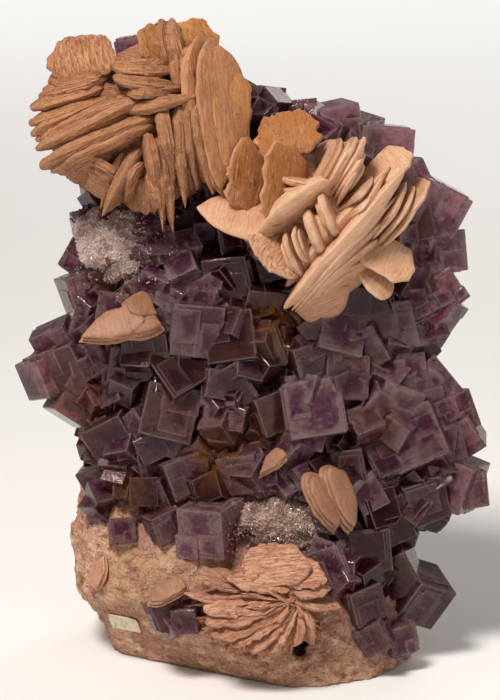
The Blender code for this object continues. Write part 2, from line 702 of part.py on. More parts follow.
# The barite and quartz pieces: name, shape and, for barite, material
ROSES = (
    ("barite_rose_upper_left", ROSE_UPPER_LEFT, ROSE_UPPER_LEFT_DOME, HEART_UPPER_LEFT, tan),
    ("barite_rose_upper_right", ROSE_UPPER_RIGHT, ROSE_UPPER_RIGHT_DOME, HEART_UPPER_RIGHT, cream),
    ("barite_rose_lower", ROSE_LOWER, ROSE_LOWER_DOME, HEART_LOWER, pink),
)
LONE_CRYSTALS = (
    ("barite_crystal_left", BARITE_LEFT, tan),
    ("barite_crystal_right", BARITE_RIGHT, cream),
    ("barite_crystal_centre", BARITE_CENTRE, cream),
    ("barite_crystal_foot_left", BARITE_FOOT_LEFT, pink),
    ("barite_crystal_foot_middle", BARITE_FOOT_MIDDLE, pink),
)
DRUSES = (
    ("quartz_druse_upper", DRUSE_UPPER),
    ("quartz_druse_lower", DRUSE_LOWER),
)

host_rock = rock_blank(0.0)
take_boolean(host_rock, [floor_cutter()], "DIFFERENCE")
finish_piece(host_rock, "host_rock", stone, parts)

crystals = []
for name, rows, dome, heart_sizes, material in ROSES:
    crystals.append(finish_piece(rose(rows, dome, heart_sizes), name, material, parts))
for name, rows, material in LONE_CRYSTALS:
    crystals.append(finish_piece(lone_crystal(rows), name, material, parts))
druses = [finish_piece(druse(*shape), name, grey, parts) for name, shape in DRUSES]

crust = make_blank(lump(CRUST_SECTIONS, CRUST_FACES, CRUST_ROUGHNESS))
take_boolean(crust, cubes_on_face(CUBES) + rim_cubes(), "UNION")
finish_piece(crust, "fluorite_crust", purple, parts)

foot_cubes = cubes_on_face(FOOT_CUBES)
take_boolean(foot_cubes[0], foot_cubes[1:], "UNION")
foot = finish_piece(foot_cubes[0], "fluorite_foot_crystals", purple, parts)

# Barite grew last, so fluorite and quartz give way to it, and every crystal gives way to the rock.
# The exact solver loses the crust in some of these cuts, so its pockets take the Manifold one.
for piece in [crust, foot] + druses:
    for name, rows, dome, heart_sizes, material in ROSES:
        take_boolean(piece, [rose(rows, dome, heart_sizes, GAP)], "DIFFERENCE", "MANIFOLD")
    for name, rows, material in LONE_CRYSTALS:
        take_boolean(piece, [lone_crystal(rows, GAP)], "DIFFERENCE", "MANIFOLD")
for name, shape in DRUSES:
    take_boolean(crust, [druse(*shape, GAP)], "DIFFERENCE", "MANIFOLD")
for piece in [crust, foot] + crystals + druses:
    take_boolean(piece, [rock_blank(GAP)], "DIFFERENCE", "MANIFOLD")
    keep_largest_shell(piece)

finish_piece(label(), "collection_label", paper, parts)
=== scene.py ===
"""Purple fluorite with barite roses on its host rock: the looks of every piece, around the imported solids."""

import math
import random

import bmesh
import bpy
import numpy as np
from mathutils import Matrix, Vector, noise
from mathutils.bvhtree import BVHTree


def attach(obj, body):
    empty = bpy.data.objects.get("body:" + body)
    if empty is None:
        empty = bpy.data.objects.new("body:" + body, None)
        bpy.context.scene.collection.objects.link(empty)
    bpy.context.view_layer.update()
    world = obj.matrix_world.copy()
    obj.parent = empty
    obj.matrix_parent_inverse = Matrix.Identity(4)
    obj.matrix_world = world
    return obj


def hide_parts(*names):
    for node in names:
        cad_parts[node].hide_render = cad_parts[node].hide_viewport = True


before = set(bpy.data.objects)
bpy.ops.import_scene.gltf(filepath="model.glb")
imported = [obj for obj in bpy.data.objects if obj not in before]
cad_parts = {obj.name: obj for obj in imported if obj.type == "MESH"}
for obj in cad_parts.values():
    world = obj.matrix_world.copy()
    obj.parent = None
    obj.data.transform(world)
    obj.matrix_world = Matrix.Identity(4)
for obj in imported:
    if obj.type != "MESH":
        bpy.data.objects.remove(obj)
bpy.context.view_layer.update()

# The host rock
# A fine-grained tan and pink stone, broken all round, worn smooth on one flank and sawn flat underneath.
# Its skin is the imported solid, cut into a fine grid, rubbed soft and roughened with ledges, grain and pits.
MM = 0.001
LEAN_BACK = 14.0
BASE_MIDDLE = (5.0, 22.0)
ROCK_GRID = 1.1
ROCK_RUBBING = 14
ROCK_FRONT = -25.0
FLANK_POINT = Vector((-38.0, 15.0, -3.0))
FLANK_NORMAL = Vector((-0.45, -0.62, 0.64)).normalized()
FLANK_SKIN = 1.5
SAWN_BELOW = 0.6
STAIN_REACH = 2.5
SPARRY_PATCH = (-35.0, 30.0, 13.0)

# Relief of the rock's skin: waves to a millimetre and height
SWELLS = (0.09, 0.9)
LEDGES = (0.16, 1.1)
CRUMBS = (0.26, 1.5)
ROUGHNESS = (0.5, 0.45)
GRAIN = (0.9, 0.22)
LEDGE_LEVEL = 0.3
CRUMB_LEVEL = 0.25
CRUMB_MOST = 0.6
PIT_UNEVENNESS = 0.25

# Colours of the rock
TAN_STONE = (0.345, 0.155, 0.098)
PINK_STONE = (0.61, 0.34, 0.22)
CREAM_STONE = (0.75, 0.52, 0.36)
RUSTY_STONE = (0.23, 0.075, 0.04)
SEAM_BROWN = (0.22, 0.10, 0.045)
SPAR_YELLOW = (0.43, 0.27, 0.125)
GRAIN_PALE = (0.62, 0.46, 0.33)
GRAIN_DARK = (0.16, 0.085, 0.05)
STAIN_PURPLE = (0.16, 0.075, 0.10)
# Painted shade at the bottom of the pits
PIT_SHADE = (0.035, 0.017, 0.014)

# Pits and hollows of the rock: place on the face, radius and depth
ROCK_PITS = (
    (28.2, -0.6, 1.2, 1.1),
    (15.6, 11.0, 2.5, 5.0),
    (14.8, 7.6, 2.0, 4.0),
    (-30.0, 33.0, 2.2, 0.8),
    (-22.0, 11.0, 1.6, 0.7),
    (6.0, 3.5, 2.0, 0.8),
    (36.0, 5.0, 1.8, 0.9),
    (-40.0, 44.0, 2.4, 0.9),
)

# The leaning face that the eye sees. Places on it are in millimetres: across, up, and out towards the eye
lean = math.radians(90 - LEAN_BACK)
standing = Matrix.Translation((-BASE_MIDDLE[0] * MM, -BASE_MIDDLE[1] * MM, 0))
FACE = standing @ Matrix.Rotation(lean, 4, "X") @ Matrix.Diagonal((MM, MM, MM, 1))
FACE_BACK = FACE.inverted()
noise.seed_set(5)


def add_node(tree, kind, settings=None, **values):
    """Adds a shader node. A value that is a socket is linked, and any other is set."""
    made = tree.nodes.new(kind)
    for name, value in (settings or {}).items():
        setattr(made, name, value)
    for name, value in values.items():
        socket = made.inputs[name.replace("_", " ")]
        if isinstance(value, bpy.types.NodeSocket):
            tree.links.new(value, socket)
        else:
            socket.default_value = value
    return made


def blend_colours(tree, share, first, second):
    made = tree.nodes.new("ShaderNodeMix")
    made.data_type = "RGBA"
    for socket, value in ((made.inputs[0], share), (made.inputs[6], first), (made.inputs[7], second)):
        if isinstance(value, bpy.types.NodeSocket):
            tree.links.new(value, socket)
        elif socket == made.inputs[0]:
            socket.default_value = value
        else:
            socket.default_value = (*value, 1.0)
    return made.outputs[2]


def ease(tree, value, low, high, to_low=0.0, to_high=1.0):
    """A smooth step of a value, from to_low at low up to to_high at high."""
    made = add_node(tree, "ShaderNodeMapRange", {"interpolation_type": "SMOOTHSTEP"}, Value=value)
    for name, setting in (("From Min", low), ("From Max", high), ("To Min", to_low), ("To Max", to_high)):
        made.inputs[name].default_value = setting
    return made.outputs["Result"]


def reckon(tree, operation, first, second=0.0):
    made = tree.nodes.new("ShaderNodeMath")
    made.operation = operation
    for socket, value in zip(made.inputs, (first, second)):
        if isinstance(value, bpy.types.NodeSocket):
            tree.links.new(value, socket)
        else:
            socket.default_value = value
    return made.outputs[0]


def cloud(tree, place, pitch, detail=4.0, roughness=0.55):
    """Noise whose lumps are about pitch apart, in the units of place."""
    settings = {"noise_dimensions": "3D"}
    made = add_node(tree, "ShaderNodeTexNoise", settings, Vector=place, Scale=1.0 / pitch)
    made.inputs["Detail"].default_value = detail
    made.inputs["Roughness"].default_value = roughness
    return made.outputs["Fac"]


def grains(tree, place, pitch, feature="F1", output="Distance"):
    made = add_node(tree, "ShaderNodeTexVoronoi", {"feature": feature}, Vector=place, Scale=1.0 / pitch)
    return made.outputs[output]


def in_millimetres(tree):
    """The place of a point on the specimen, in millimetres."""
    place = add_node(tree, "ShaderNodeTexCoord").outputs["Object"]
    scaled = tree.nodes.new("ShaderNodeVectorMath")
    scaled.operation = "SCALE"
    tree.links.new(place, scaled.inputs[0])
    scaled.inputs["Scale"].default_value = 1 / MM
    return scaled.outputs[0]


def stretched(tree, place, x, y, z):
    """A place with each of its axes scaled, so that noise on it is drawn out."""
    made = add_node(tree, "ShaderNodeVectorMath", {"operation": "MULTIPLY"})
    tree.links.new(place, made.inputs[0])
    made.inputs[1].default_value = (x, y, z)
    return made.outputs[0]


def written_on(tree, name, output="Fac"):
    """A value that the mesh carries."""
    return add_node(tree, "ShaderNodeAttribute", {"attribute_name": name}).outputs[output]


def bumps(tree, height, depth_mm, strength=1.0, normal=None):
    made = add_node(tree, "ShaderNodeBump", Height=height, Strength=strength, Distance=depth_mm * MM)
    if normal is not None:
        tree.links.new(normal, made.inputs["Normal"])
    return made.outputs["Normal"]


def new_finish(name):
    """A new material, with its node tree and its shader."""
    finish = bpy.data.materials.new(name)
    finish.use_nodes = True
    return finish, finish.node_tree, finish.node_tree.nodes["Principled BSDF"]


def dress(piece, finish, slot, *nodes):
    """Gives a piece its finish and its place on the specimen, where it stands for its solids."""
    piece.data.materials.clear()
    piece.data.materials.append(finish)
    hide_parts(*nodes)
    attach(piece, "root")


def new_piece(name, mesh):
    piece = bpy.data.objects.new(name, mesh)
    bpy.context.scene.collection.objects.link(piece)
    return piece


def settled(piece):
    """Makes a piece's modifiers part of its mesh."""
    bpy.context.view_layer.update()
    graph = bpy.context.evaluated_depsgraph_get()
    mesh = bpy.data.meshes.new_from_object(piece.evaluated_get(graph))
    piece.modifiers.clear()
    piece.data = mesh
    return piece


def write_on(mesh, name, values, kind="FLOAT", domain="POINT"):
    """Writes one value for each point, corner or face on a mesh."""
    layer = mesh.attributes.new(name, kind, domain)
    layer.data.foreach_set("value" if kind == "FLOAT" else "vector", np.ravel(values).astype(np.float32))


def points_of(mesh):
    places = np.zeros(len(mesh.vertices) * 3)
    mesh.vertices.foreach_get("co", places)
    return places.reshape(-1, 3)


def tree_of(node):
    """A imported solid, to measure distances to."""
    return BVHTree.FromObject(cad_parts[node], bpy.context.evaluated_depsgraph_get())


crust_solid = tree_of("fluorite_crust")
rock = new_piece("rock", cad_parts["host_rock"].data.copy())
remesh = rock.modifiers.new("grid", "REMESH")
remesh.mode = "VOXEL"
remesh.voxel_size = ROCK_GRID * MM
rubbing = rock.modifiers.new("rubbing", "SMOOTH")
rubbing.iterations = ROCK_RUBBING
settled(rock)


def relief_at(place, grain):
    """How far the rock's skin rises at a place. It rises less on the worn flank."""
    worn = max(0.0, 1 - abs((place - FLANK_POINT).dot(FLANK_NORMAL)) / FLANK_SKIN)
    swell = noise.fractal(place * SWELLS[0], 0.9, 2.1, 4)
    ledge = LEDGE_LEVEL - abs(noise.noise(place * LEDGES[0] + Vector((7, 3, 1))))
    near, next_near = noise.voronoi(place * CRUMBS[0])[0][:2]
    crumb = min(CRUMB_MOST, next_near - near) - CRUMB_LEVEL
    rough = noise.fractal(place * ROUGHNESS[0], 0.8, 2.2, 3)
    return (
        ROUGHNESS[1] * rough * (1 - 0.8 * worn)
        + SWELLS[1] * swell * (1 - 0.7 * worn)
        + (LEDGES[1] * ledge + CRUMBS[1] * crumb) * (1 - worn)
        + GRAIN[1] * grain
    )


def pit_depth_at(place, grain):
    """How deep the pits are at a place on the rock's front. Their rims are uneven."""
    deepest = 0.0
    for x, y, radius, depth in ROCK_PITS:
        off = math.hypot(place.x - x, place.y - y) / radius
        deepest = max(deepest, math.exp(-((off * (1 + PIT_UNEVENNESS * grain)) ** 6)) * depth)
    return deepest


def spar_at(place):
    """How much pale yellow spar shows at a place on the rock's front."""
    x, y, radius = SPARRY_PATCH
    off = ((place.x - x) ** 2 + (place.y - y) ** 2) / radius**2
    return math.exp(-(off**1.5))


stains = []
hollows = []
sparry = []
normals = [vert.normal.copy() for vert in rock.data.vertices]
for vert, normal in zip(rock.data.vertices, normals):
    place = FACE_BACK @ vert.co
    in_front = place.z > ROCK_FRONT
    grain = noise.noise(place * GRAIN[0])
    rise = relief_at(place, grain)
    hollow = pit_depth_at(place, grain) if in_front else 0.0
    sawn = min(1.0, max(0.0, vert.co.z / MM / SAWN_BELOW))
    vert.co += normal * (rise - hollow) * sawn * MM
    vert.co.z = max(0.0, vert.co.z) if sawn > 0 else 0.0
    hollows.append(hollow)
    sparry.append(spar_at(place) if in_front else 0.0)
    nearest = crust_solid.find_nearest(vert.co)[3]
    stains.append(math.exp(-nearest / MM / STAIN_REACH))
write_on(rock.data, "stain", stains)
write_on(rock.data, "hollow", hollows)
write_on(rock.data, "sparry", sparry)
rock.data.shade_smooth()


def rock_finish():
    """Tan stone mottled pink and cream, with rusty seams, fine grain, painted shade in its pits, and purple
    stains.
    """
    finish, tree, shader = new_finish("rock")
    place = in_millimetres(tree)
    mottle = cloud(tree, place, 11.0, 6.0, 0.62)
    blotch = cloud(tree, stretched(tree, place, 1.0, 1.0, 1.6), 4.2, 5.0, 0.6)
    speck = cloud(tree, place, 0.9, 3.0, 0.7)
    colour = blend_colours(tree, ease(tree, mottle, 0.36, 0.62), TAN_STONE, PINK_STONE)
    blotches = ease(tree, blotch, 0.53, 0.64)
    flecks = reckon(tree, "MULTIPLY", blotches, ease(tree, mottle, 0.40, 0.58, 0.3, 0.9))
    colour = blend_colours(tree, flecks, colour, CREAM_STONE)
    colour = blend_colours(tree, ease(tree, blotch, 0.47, 0.34, 0.0, 0.85), colour, RUSTY_STONE)
    seam = cloud(tree, stretched(tree, place, 0.6, 0.6, 2.0), 7.0, 7.0, 0.7)
    seam = ease(tree, reckon(tree, "ABSOLUTE", reckon(tree, "SUBTRACT", seam, 0.5)), 0.024, 0.0, 0.0, 0.8)
    colour = blend_colours(tree, seam, colour, SEAM_BROWN)
    spar = reckon(tree, "MULTIPLY", written_on(tree, "sparry"), ease(tree, blotch, 0.40, 0.55))
    colour = blend_colours(tree, reckon(tree, "MULTIPLY", spar, 0.7), colour, SPAR_YELLOW)
    colour = blend_colours(tree, ease(tree, speck, 0.56, 0.70, 0.0, 0.6), colour, GRAIN_PALE)
    colour = blend_colours(tree, ease(tree, speck, 0.44, 0.30, 0.0, 0.75), colour, GRAIN_DARK)
    patchy = reckon(tree, "MULTIPLY", written_on(tree, "stain"), ease(tree, blotch, 0.35, 0.6))
    colour = blend_colours(tree, reckon(tree, "MULTIPLY", patchy, 0.75), colour, STAIN_PURPLE)
    # Painted shade: the deeper a pit, the darker it is painted
    colour = blend_colours(tree, ease(tree, written_on(tree, "hollow"), 1.2, 2.8), colour, PIT_SHADE)
    tree.links.new(colour, shader.inputs["Base Color"])
    tree.links.new(ease(tree, speck, 0.35, 0.8, 0.85, 0.45), shader.inputs["Roughness"])
    coarse = bumps(tree, blotch, 1.5, 0.9)
    crumbly = bumps(tree, grains(tree, place, 2.4), 0.7, 0.8, coarse)
    fine = bumps(tree, reckon(tree, "ADD", speck, grains(tree, place, 0.8)), 0.26, 0.9, crumbly)
    tree.links.new(fine, shader.inputs["Normal"])
    shader.inputs["Specular IOR Level"].default_value = 0.4
    return finish


dress(rock, rock_finish(), "rock", "host_rock")

# The fluorite crust
# Clear dark purple fluorite in cubes of 8 to 17 mm, grown over one another on a bed of massive fluorite.
# Each crystal has steps of later growth on its faces, and small cubes fill the hollows between them.
SECTION_ROUNDNESS = 2.4
SECTION_EDGE = 0.97
BED_FACES = (28, 22)
BED_ZONES = 14.0
BED_PALENESS = -0.35
BED_RELIEF = ((1.6, 0.11), (0.7, 0.3))
CUBE_STANDS_OUT = 0.05
CUBE_BEVEL = 0.28
STEPS_EACH = 6
STEP_SPANS = (0.35, 0.8)
STEP_HEIGHTS = (0.18, 0.5)
STEP_PLACES = (0.3, 0.94)
SIDE_CRYSTALS = 3
SIDE_SPANS = (0.35, 0.72)
SIDE_STANDS = (-0.25, 0.14)
ZONE_SHIFT = 0.4
PALENESS_SPREAD = 0.18

# Small cubes over the whole crust, and where on the bare foot of the rock few or none of them grew
FILL_HEIGHTS = (24, 184)
FILL_CUBES = 430
FILL_EDGES = (4.5, 9.5)
FILL_RISE = (0.12, 0.55)
SMALL_CUBES = 620
SMALL_EDGES = (2.2, 4.6)
SMALL_RISE = (0.2, 0.5)
SMALL_TURN = 42.0
SMALL_BEVEL = 0.16
SMALL_PALENESS = 0.4
FEW_BELOW = 62
FEW_LEFT_OF = 22
FEW_LEFT_OUT = 0.92
NONE_BELOW = 40

# The crust is painted paler towards its upper right, as painted light where the light falls on it: the place
# where it starts, how far it takes, and by how much
PALER_FROM = (10, 72)
PALER_OVER = (40, 50)
PALER_CORNER = 0.45

# Colours of the fluorite: the darkest and the palest crystals, their hearts, their rims, painted highlights
# along their edges, and their flaws
FLUORITE_DARK = (0.050, 0.008, 0.012)
FLUORITE_PALE = (0.56, 0.31, 0.36)
FLUORITE_SMOKY = (0.15, 0.040, 0.030)
HEART_DARK = (0.034, 0.004, 0.012)
HEART_PALE = (0.20, 0.040, 0.125)
RIM_DARK = (0.13, 0.040, 0.040)
RIM_PALE = (0.70, 0.47, 0.49)
# Painted highlight along the very edges of the cubes
ARRIS_HIGHLIGHT = (0.62, 0.47, 0.48)
VEIL_PALE = (0.60, 0.47, 0.49)
FLAW_PALE = (0.62, 0.46, 0.48)
FLAW_DARK = (0.028, 0.006, 0.010)
AMBER_STAIN = (0.36, 0.13, 0.02)
FLUORITE_IOR = 1.434
FLUORITE_CLEARNESS = 0.74
LIGHT_LET_THROUGH = (0.66, 0.32, 0.44, 1.0)
ABSORPTION = 190.0

# Sections of the rock's front, to stand low crystals on: height, left, right, front, back
ROCK_SECTIONS = (
    (-8, -39, 48, 14, -56),
    (13, -46, 51, 14, -59),
    (32, -55, 47, 11, -58),
    (46, -55, 44, 6, -57),
    (58, -53, 46, -2, -55),
    (88, -49, 49, -10, -49),
    (158, -42, 34, -13, -42),
    (184, -36, -16, -20, -36),
)

# Sections of the bed between and under the cubes: height, left, right, front, back
BED_SECTIONS = (
    (13, -34, 45, 0, -30),
    (24, -44, 48, 1, -32),
    (40, -46, 45, 1, -32),
    (52, -48, 58, 1, -32),
    (66, -48, 62, 1, -32),
    (80, -52, 58, 1, -32),
    (92, -58, 51, 0, -31),
    (104, -52, 52, 0, -31),
    (120, -49, 57, -1, -31),
    (140, -48, 58, -2, -31),
    (152, -49, 44, -4, -30),
    (164, -49, 33, -6, -30),
    (174, -48, -2, -9, -29),
    (185, -44, -16, -12, -26),
)

# Cubes: x, y, edge, the turns about the face's Y, X and Z axes, and how pale the crystal is, from -1 to 1
CUBES = (
    (3.6, 164.4, 9.0, 15, 20, 5, 0.0),
    (12.6, 163.2, 11.0, -20, 10, 22, 0.1),
    (25.5, 165.0, 13.0, 20, 15, 8, 0.6),
    (34.2, 162.8, 10.0, -15, 25, -12, 0.6),
    (39.4, 156.8, 16.5, 14, 8, -6, 0.7),
    (19.5, 154.2, 12.0, -10, 12, -18, 0.6),
    (30.0, 151.2, 11.0, 25, -8, 14, 0.4),
    (48.9, 149.5, 9.0, 10, 10, 25, 0.5),
    (56.0, 139.6, 15.5, 12, 8, -28, 0.4),
    (52.5, 134.4, 11.0, -25, -10, 10, 0.3),
    (57.6, 126.6, 12.5, 20, 5, 5, 0.7),
    (57.0, 115.2, 11.0, 8, 20, 35, 0.4),
    (51.0, 112.2, 14.0, 18, -12, 32, 0.3),
    (57.6, 108.6, 10.0, -30, 10, -35, 0.7),
    (53.4, 102.6, 10.0, 20, -20, 20, 0.2),
    (43.8, 105.0, 14.0, -12, 10, 15, 0.1),
    (51.6, 97.2, 8.0, 10, 30, 40, -0.5),
    (25.8, 101.1, 14.0, 16, -16, -10, 0.4),
    (35.4, 98.1, 12.0, -20, 8, 30, 0.0),
    (28.5, 88.2, 13.0, 6, -6, -3, 0.2),
    (17.4, 93.0, 13.0, 22, 12, 15, -0.3),
    (18.0, 78.0, 17.0, 10, -8, 10, 0.8),
    (5.4, 99.6, 12.0, -24, 18, 20, -0.2),
    (3.6, 111.6, 12.0, 14, 30, -14, -0.5),
    (-5.4, 120.0, 14.0, -16, 20, 12, -0.8),
    (-22.8, 114.3, 11.0, 5, -8, -4, 0.7),
    (-13.8, 114.0, 10.5, -12, 6, -12, 0.4),
    (-16.5, 103.5, 15.5, 8, 10, -6, 0.2),
    (-4.2, 99.6, 15.0, -14, -10, 6, -0.4),
    (-21.6, 89.1, 15.0, 20, -14, 35, -0.5),
    (-30.0, 96.0, 14.0, -10, 15, 10, -0.4),
    (-39.0, 93.0, 11.0, 24, 10, -8, -0.2),
    (-45.6, 93.6, 10.0, -30, -12, 25, -0.2),
    (-55.8, 92.1, 14.0, -20, 12, 25, -0.1),
    (-61.6, 89.4, 12.0, 35, 10, 22, 0.6),
    (-58.5, 99.0, 11.0, -15, 18, 28, 0.1),
    (-53.4, 81.0, 12.0, 20, -10, -30, 0.3),
    (-50.6, 114.6, 12.0, 18, 10, 20, 0.1),
    (-50.2, 124.2, 10.0, -20, 14, -30, 0.0),
    (-49.0, 134.1, 9.0, 12, 20, 10, 0.0),
    (-25.2, 76.8, 16.0, 8, -10, -13, 0.0),
    (-40.2, 70.8, 14.0, -22, 12, 32, -0.2),
    (-31.2, 66.0, 11.0, 26, 16, 10, 0.0),
    (-36.3, 56.4, 10.0, 4, -8, 2, -0.2),
    (-45.0, 58.2, 10.0, -24, 10, 30, -0.1),
    (-20.4, 59.4, 12.0, 15, 12, 20, 0.1),
    (-16.2, 66.0, 9.0, -18, 20, 40, 0.0),
    (-8.4, 77.4, 12.0, 6, -12, -3, 0.3),
    (-5.4, 86.4, 13.0, -16, 10, 32, -0.3),
    (6.0, 78.0, 12.0, 22, 8, 18, -0.2),
    (-2.4, 60.6, 12.0, -14, 14, 12, 0.1),
    (10.8, 57.0, 12.0, 28, -18, 38, 0.5),
    (-11.4, 43.8, 15.0, -28, 14, 4, 0.8),
    (-25.8, 44.4, 9.0, 20, 15, 20, 0.0),
    (-28.2, 53.4, 9.0, -20, 10, 25, -0.1),
    (-15.0, 55.8, 10.0, 30, 20, 15, -0.7),
    (24.0, 33.0, 12.5, -20, 8, 22, 0.6),
    (35.1, 54.0, 10.5, 12, 10, 38, 0.5),
    (30.6, 63.0, 10.0, -18, 12, 12, -0.3),
    (40.2, 63.0, 11.0, 20, -15, 28, 0.1),
    (43.8, 81.0, 13.0, 10, 12, -22, 0.5),
    (44.4, 90.0, 10.0, -24, 14, 15, 0.4),
    (52.8, 85.2, 14.0, 16, 10, 40, 0.3),
    (51.0, 69.6, 17.0, -12, -12, 22, 0.3),
    (60.6, 77.4, 12.0, 24, 10, 20, 0.4),
    (64.2, 71.0, 11.0, -16, 15, 36, 0.4),
    (57.6, 64.8, 13.0, 14, -8, 12, 0.1),
    (61.2, 57.0, 15.0, -20, 12, -18, 0.3),
    (65.0, 54.6, 11.0, 20, 8, 6, 0.4),
    (51.6, 52.2, 13.0, 12, 16, 14, -0.3),
    (54.0, 49.8, 12.0, 10, -25, -12, -0.5),
    (39.6, 45.6, 14.0, 14, 14, 20, -0.9),
    (43.4, 41.4, 11.0, -18, 10, 30, -0.8),
    (34.8, 37.2, 13.0, 8, 8, 5, -0.6),
    (33.0, 21.6, 11.0, 24, 16, 15, -0.1),
    (43.8, 30.0, 13.0, -16, 14, 28, -0.4),
    (50.6, 23.2, 14.5, 38, 20, -34, -0.1),
    (44.4, 10.4, 9.0, 20, 14, 12, 0.5),
    (37.2, 12.0, 9.0, -20, 12, 30, 0.1),
    (-36.0, 187.4, 8.0, -16, 10, 10, 0.3),
    (-27.6, 190.4, 9.0, 20, 16, 30, 0.5),
    (-14.6, 185.4, 8.0, 14, -12, 10, 0.3),
    (-1.2, 163.8, 9.0, 18, 8, 20, 0.0),
    (-2.4, 153.6, 9.0, -14, 16, 8, -0.3),
    (-5.4, 132.0, 12.0, 16, 10, 10, -0.8),
    (-49.5, 104.6, 11.0, 12, 10, -15, 0.2),
    (-38.4, 42.4, 7.5, 8, -8, 5, 0.3),
    (15.0, 111.6, 12.0, -18, 22, 14, -0.7),
    (37.8, 113.4, 12.0, -22, 12, 20, -0.6),
)

# Where iron has stained the fluorite amber or brown: place on the face, radius and strength
AMBER_PATCHES = (
    (8.0, 104.0, 8.0, 0.9),
    (-10.0, 66.5, 8.5, 1.0),
    (-34.5, 54.0, 5.5, 0.8),
    (5.0, 74.0, 6.0, 0.5),
    (-53.0, 80.0, 9.0, 0.55),
    (-24.0, 78.0, 5.0, 0.3),
    (40.0, 75.0, 7.0, 0.5),
    (-42.0, 118.0, 6.0, 0.6),
)

# Cubes that carry the crust round the sides and the top of the rock
RIM_SEED = 7
RIM_COUNT = 22
RIM_EDGES = (9.0, 13.0)
RIM_WANDER = 3.0
RIM_TURN = 40.0
RIM_DEPTHS = (-15.0, -27.0)
RIM_INSET = 4.0
RIM_LOW = 34.0
RIM_HIGH = 166.0
RIM_FILL = 150
RIM_FILL_EDGES = (4.0, 8.5)
RIM_FILL_DEPTHS = (-30.0, -4.0)
RIM_FILL_ABOVE = 14
RIM_FILL_WANDER = (-3, 1)

# Small crystals low on the rock's left: x, y, edge, three turns and paleness
FOOT_CUBES = (
    (-25.4, 18.8, 8.6, 20, 12, 22, 0.3),
    (-18.6, 17.8, 8.0, -16, 20, 8, 0.0),
    (-22.4, 15.6, 7.0, 25, -10, 35, 0.5),
)


def section_at(sections, y):
    """Left, right, front and back of a stack of sections at height y."""
    y = max(sections[0][0], min(sections[-1][0], y))
    for low, high in zip(sections, sections[1:]):
        if y <= high[0]:
            share = (y - low[0]) / (high[0] - low[0])
            return [a + (b - a) * share for a, b in zip(low[1:], high[1:])]
    return list(sections[-1][1:])


def front_of(sections, x, y):
    """Depth of the front skin of a stack of sections at a place on the face."""
    left, right, front, back = section_at(sections, y)
    off_middle = abs(x - (left + right) / 2) / ((right - left) / 2)
    off_middle = min(off_middle, SECTION_EDGE)
    rise = (1 - off_middle**SECTION_ROUNDNESS) ** (1 / SECTION_ROUNDNESS)
    return (front + back) / 2 + (front - back) / 2 * rise


def bed_of_fluorite():
    """The massive fluorite under the crystals, as a faceted lump."""
    around, rings = BED_FACES
    mesh = bmesh.new()
    bmesh.ops.create_uvsphere(mesh, u_segments=around, v_segments=rings, radius=1.0)
    lowest, highest = BED_SECTIONS[0][0], BED_SECTIONS[-1][0]
    power = 2 / SECTION_ROUNDNESS
    for vert in mesh.verts:
        ring = math.acos(max(-1.0, min(1.0, -vert.co.z))) / math.pi * rings
        climb = max(0.0, min(1.0, (ring - 1) / (rings - 2)))
        y = lowest + (highest - lowest) * climb
        left, right, front, back = section_at(BED_SECTIONS, y)
        c, s = (vert.co.x, vert.co.y) if 0.5 < ring < rings - 0.5 else (0.0, 0.0)
        wide = math.hypot(c, s) or 1.0
        x = (left + right) / 2 + math.copysign(abs(c / wide) ** power, c) * (right - left) / 2
        z = (front + back) / 2 + math.copysign(abs(s / wide) ** power, s) * (front - back) / 2
        place = Vector((x, y, z))
        vert.co = place
        for height, waves in BED_RELIEF:
            vert.co += height * noise.noise_vector(place * waves)
    return mesh


def crystal_axes(yaw, pitch, roll):
    """The turn of a crystal about the face's Y, X and Z axes."""
    return (
        Matrix.Rotation(math.radians(roll), 4, "Z")
        @ Matrix.Rotation(math.radians(pitch), 4, "X")
        @ Matrix.Rotation(math.radians(yaw), 4, "Y")
    )


def places_on_face(places):
    """Places in millimetres on the leaning face, for an array of places in the world."""
    return places @ np.array(FACE_BACK)[:3, :3].T + np.array(FACE_BACK)[:3, 3]


